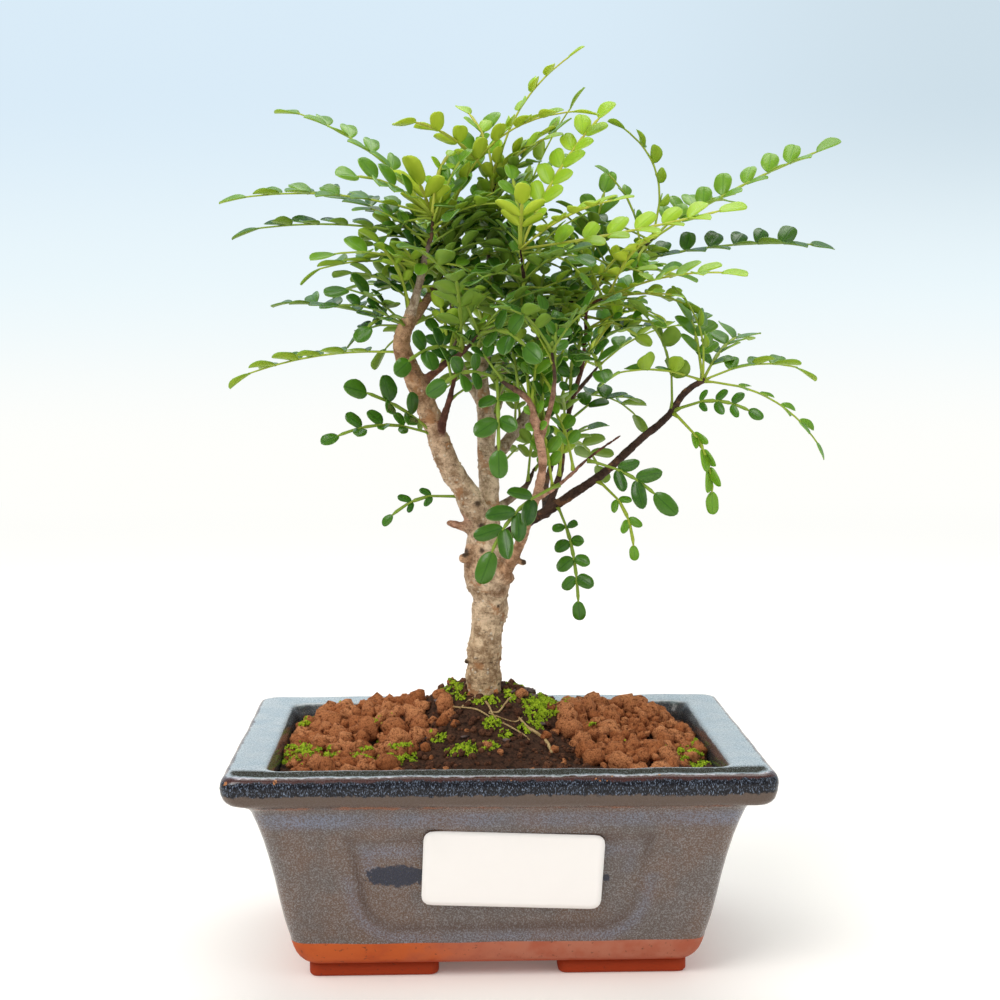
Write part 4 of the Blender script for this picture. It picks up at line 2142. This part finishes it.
@dataclass
class Studio:
    """Pale floor that sweeps up into a pale cool backdrop, soft lights and the photo's camera."""

    focal_px: float = 1700.0
    frame_px: float = 1000.0
    sensor: float = 36.0
    eye: Point = (-15.8, -501.6, 173.4)
    yaw: float = 0.035
    pitch: float = 0.084
    roll: float = -0.001
    sweep_back: float = 2.4
    sweep_radius: float = 0.6
    sweep_high: float = 2.6
    half_wide: float = 4.0
    front_edge: float = -5.0
    steps: int = 12
    ground: Colour = (0.93, 0.9, 0.86)
    glow: Colour = (0.12, 0.11, 0.1)
    horizon: Colour = (1.0, 1.0, 0.97)
    sky: Colour = (0.84, 0.94, 0.98)
    high_left: Colour = (0.7, 0.835, 0.94)
    high_right: Colour = (0.62, 0.74, 0.82)
    air: Colour = (0.95, 0.97, 1.0)
    air_strength: float = 0.42
    aim: Point = (0.0, 0.0, 0.14)

    def sheet_look(self) -> Material:
        """Lays out the material of the floor and backdrop, which glows towards the back.

        Returns:
            The material.
        """
        bench = NodeBench("studio_sweep")
        rise = bench.spot("Z")
        sky = bench.mix(bench.step(rise, 20.0, 330.0), self.horizon, self.sky)
        high = bench.mix(bench.step(bench.spot("X"), 100.0, 900.0), self.high_left, self.high_right)
        sky = bench.mix(bench.step(rise, 240.0, 640.0), sky, high)
        far = bench.step(bench.spot("Y"), 250.0, 1500.0)
        bench.set(Base_Color=bench.mix(far, self.ground, (0.0, 0.0, 0.0)), Roughness=0.9)
        bench.set(Emission_Color=bench.mix(far, self.glow, sky), Emission_Strength=1.0)
        bench.set(Specular_IOR_Level=0.0)
        return bench.material

    def floor(self) -> None:
        """The floor and backdrop as one bent sheet."""
        profile = [(self.front_edge, 0.0), (self.sweep_back - self.sweep_radius, 0.0)]
        for step in range(1, self.steps + 1):
            angle = step / self.steps * math.pi / 2
            y = self.sweep_back - self.sweep_radius + self.sweep_radius * math.sin(angle)
            profile.append((y, self.sweep_radius * (1 - math.cos(angle))))
        profile.append((self.sweep_back, self.sweep_high))
        bm = bmesh.new()
        verts = [bm.verts.new((-self.half_wide, y, z)) for y, z in profile]
        edges = [bm.edges.new(pair) for pair in zip(verts, verts[1:])]
        grown = bmesh.ops.extrude_edge_only(bm, edges=edges)["geom"]
        bmesh.ops.translate(bm, verts=verts_of(grown), vec=(2 * self.half_wide, 0.0, 0.0))
        for face in bm.faces:
            face.smooth = True
        bmesh.ops.recalc_face_normals(bm, faces=bm.faces)
        mesh = mesh_of(bm, "backdrop")
        mesh.materials.append(self.sheet_look())
        add_object("backdrop", mesh)

    def light(self, name: str, place: Point, size: float, power: float, colour: Colour) -> None:
        """One soft square light.

        Args:
            name: its name.
            place: where it stands, in metres.
            size: its side, in metres.
            power: its power in watts.
            colour: its colour.
        """
        lamp = bpy.data.lights.new(name, "AREA")
        lamp.size = size
        lamp.energy = power
        lamp.color = colour
        body = add_object(name, lamp)
        body.location = place
        body.rotation_euler = (Vector(self.aim) - Vector(place)).to_track_quat("-Z", "Y").to_euler()

    def camera(self) -> None:
        """The camera at the photograph's place and angle."""
        level = math.cos(self.pitch)
        forward = Vector((math.sin(self.yaw) * level, math.cos(self.yaw) * level, -math.sin(self.pitch)))
        right = Vector((math.cos(self.yaw), -math.sin(self.yaw), 0.0))
        turn = Matrix((right, right.cross(forward), -forward)).transposed()
        lens = bpy.data.cameras.new("photo_camera")
        lens.sensor_width = self.sensor
        lens.lens = self.focal_px / self.frame_px * self.sensor
        body = add_object("photo_camera", lens)
        spot = TO_ROW @ Vector(self.eye)
        body.matrix_world = Matrix.Translation(spot) @ (turn @ Matrix.Rotation(self.roll, 3, "Z")).to_4x4()
        bpy.context.scene.camera = body

    def build(self) -> None:
        """Sets the stage."""
        scene = bpy.context.scene
        scene.view_settings.view_transform = "Standard"
        world = bpy.data.worlds.new("studio_air")
        world.use_nodes = True
        air = world.node_tree.nodes["Background"]
        air.inputs["Color"].default_value = (*self.air, 1.0)
        air.inputs["Strength"].default_value = self.air_strength
        scene.world = world
        self.floor()
        self.light("key", (-0.9, -0.9, 1.3), size=1.0, power=18.0, colour=(1.0, 0.98, 0.95))
        self.light("fill", (1.2, -0.8, 0.8), size=1.2, power=5.0, colour=(0.96, 0.98, 1.0))
        self.light("top", (0.1, 0.5, 1.5), size=1.2, power=13.0, colour=(1.0, 1.0, 0.97))
        self.camera()


def build_tree_and_pot() -> None:
    """Builds every piece of the bonsai in order."""
    pot = Pot()
    pot.build()
    ShopLabel(pot).build()
    DrainScreens().dress()
    soil = SoilBed(pot)
    soil.build()
    lumps = lump_patterns(count=10, cuts=2, rough=0.5, seed=3)
    clay = Crumb("clay_grain", (0.11, 0.03, 0.01), (0.42, 0.145, 0.052), (0.62, 0.26, 0.11), 1.1).make()
    left = ClayPile(
        "clay_pile_left", "clay_grains_left", soil, (-43, 0), (22, 36.5), seed=21, stray=LEFT_STRAY
    )
    right = ClayPile(
        "clay_pile_right", "clay_grains_right", soil, (41.5, 2), (21, 37), seed=22, stray=RIGHT_STRAY
    )
    for pile in (left, right):
        pile.build(lumps, clay)
    ground = LooseGround(soil, (left, right))
    crumbs = lump_patterns(count=5, cuts=1, rough=0.6, seed=9)
    dark = Crumb("dark_crumb", (0.012, 0.007, 0.005), (0.11, 0.045, 0.026), (0.2, 0.085, 0.045), 1.2)
    ground.scatter("soil_crumbs", 1500, (0.4, 1.5), dark.make(), crumbs, seed=31)
    ground.scatter("loose_grains", 70, (0.8, 2.8), clay, lumps, seed=32)
    ground.moss()
    ground.pale_roots()
    ground.bark_chips(lumps)
    Wood().build()
    shop = LeafletShop()
    shop.prepare()
    Foliage(Fronds(shop)).build()


def main() -> None:
    """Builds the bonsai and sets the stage."""
    logging.basicConfig(level=logging.INFO, format="%(name)s: %(message)s")
    build_tree_and_pot()
    Studio().build()


if __name__ == "__main__":
    main()
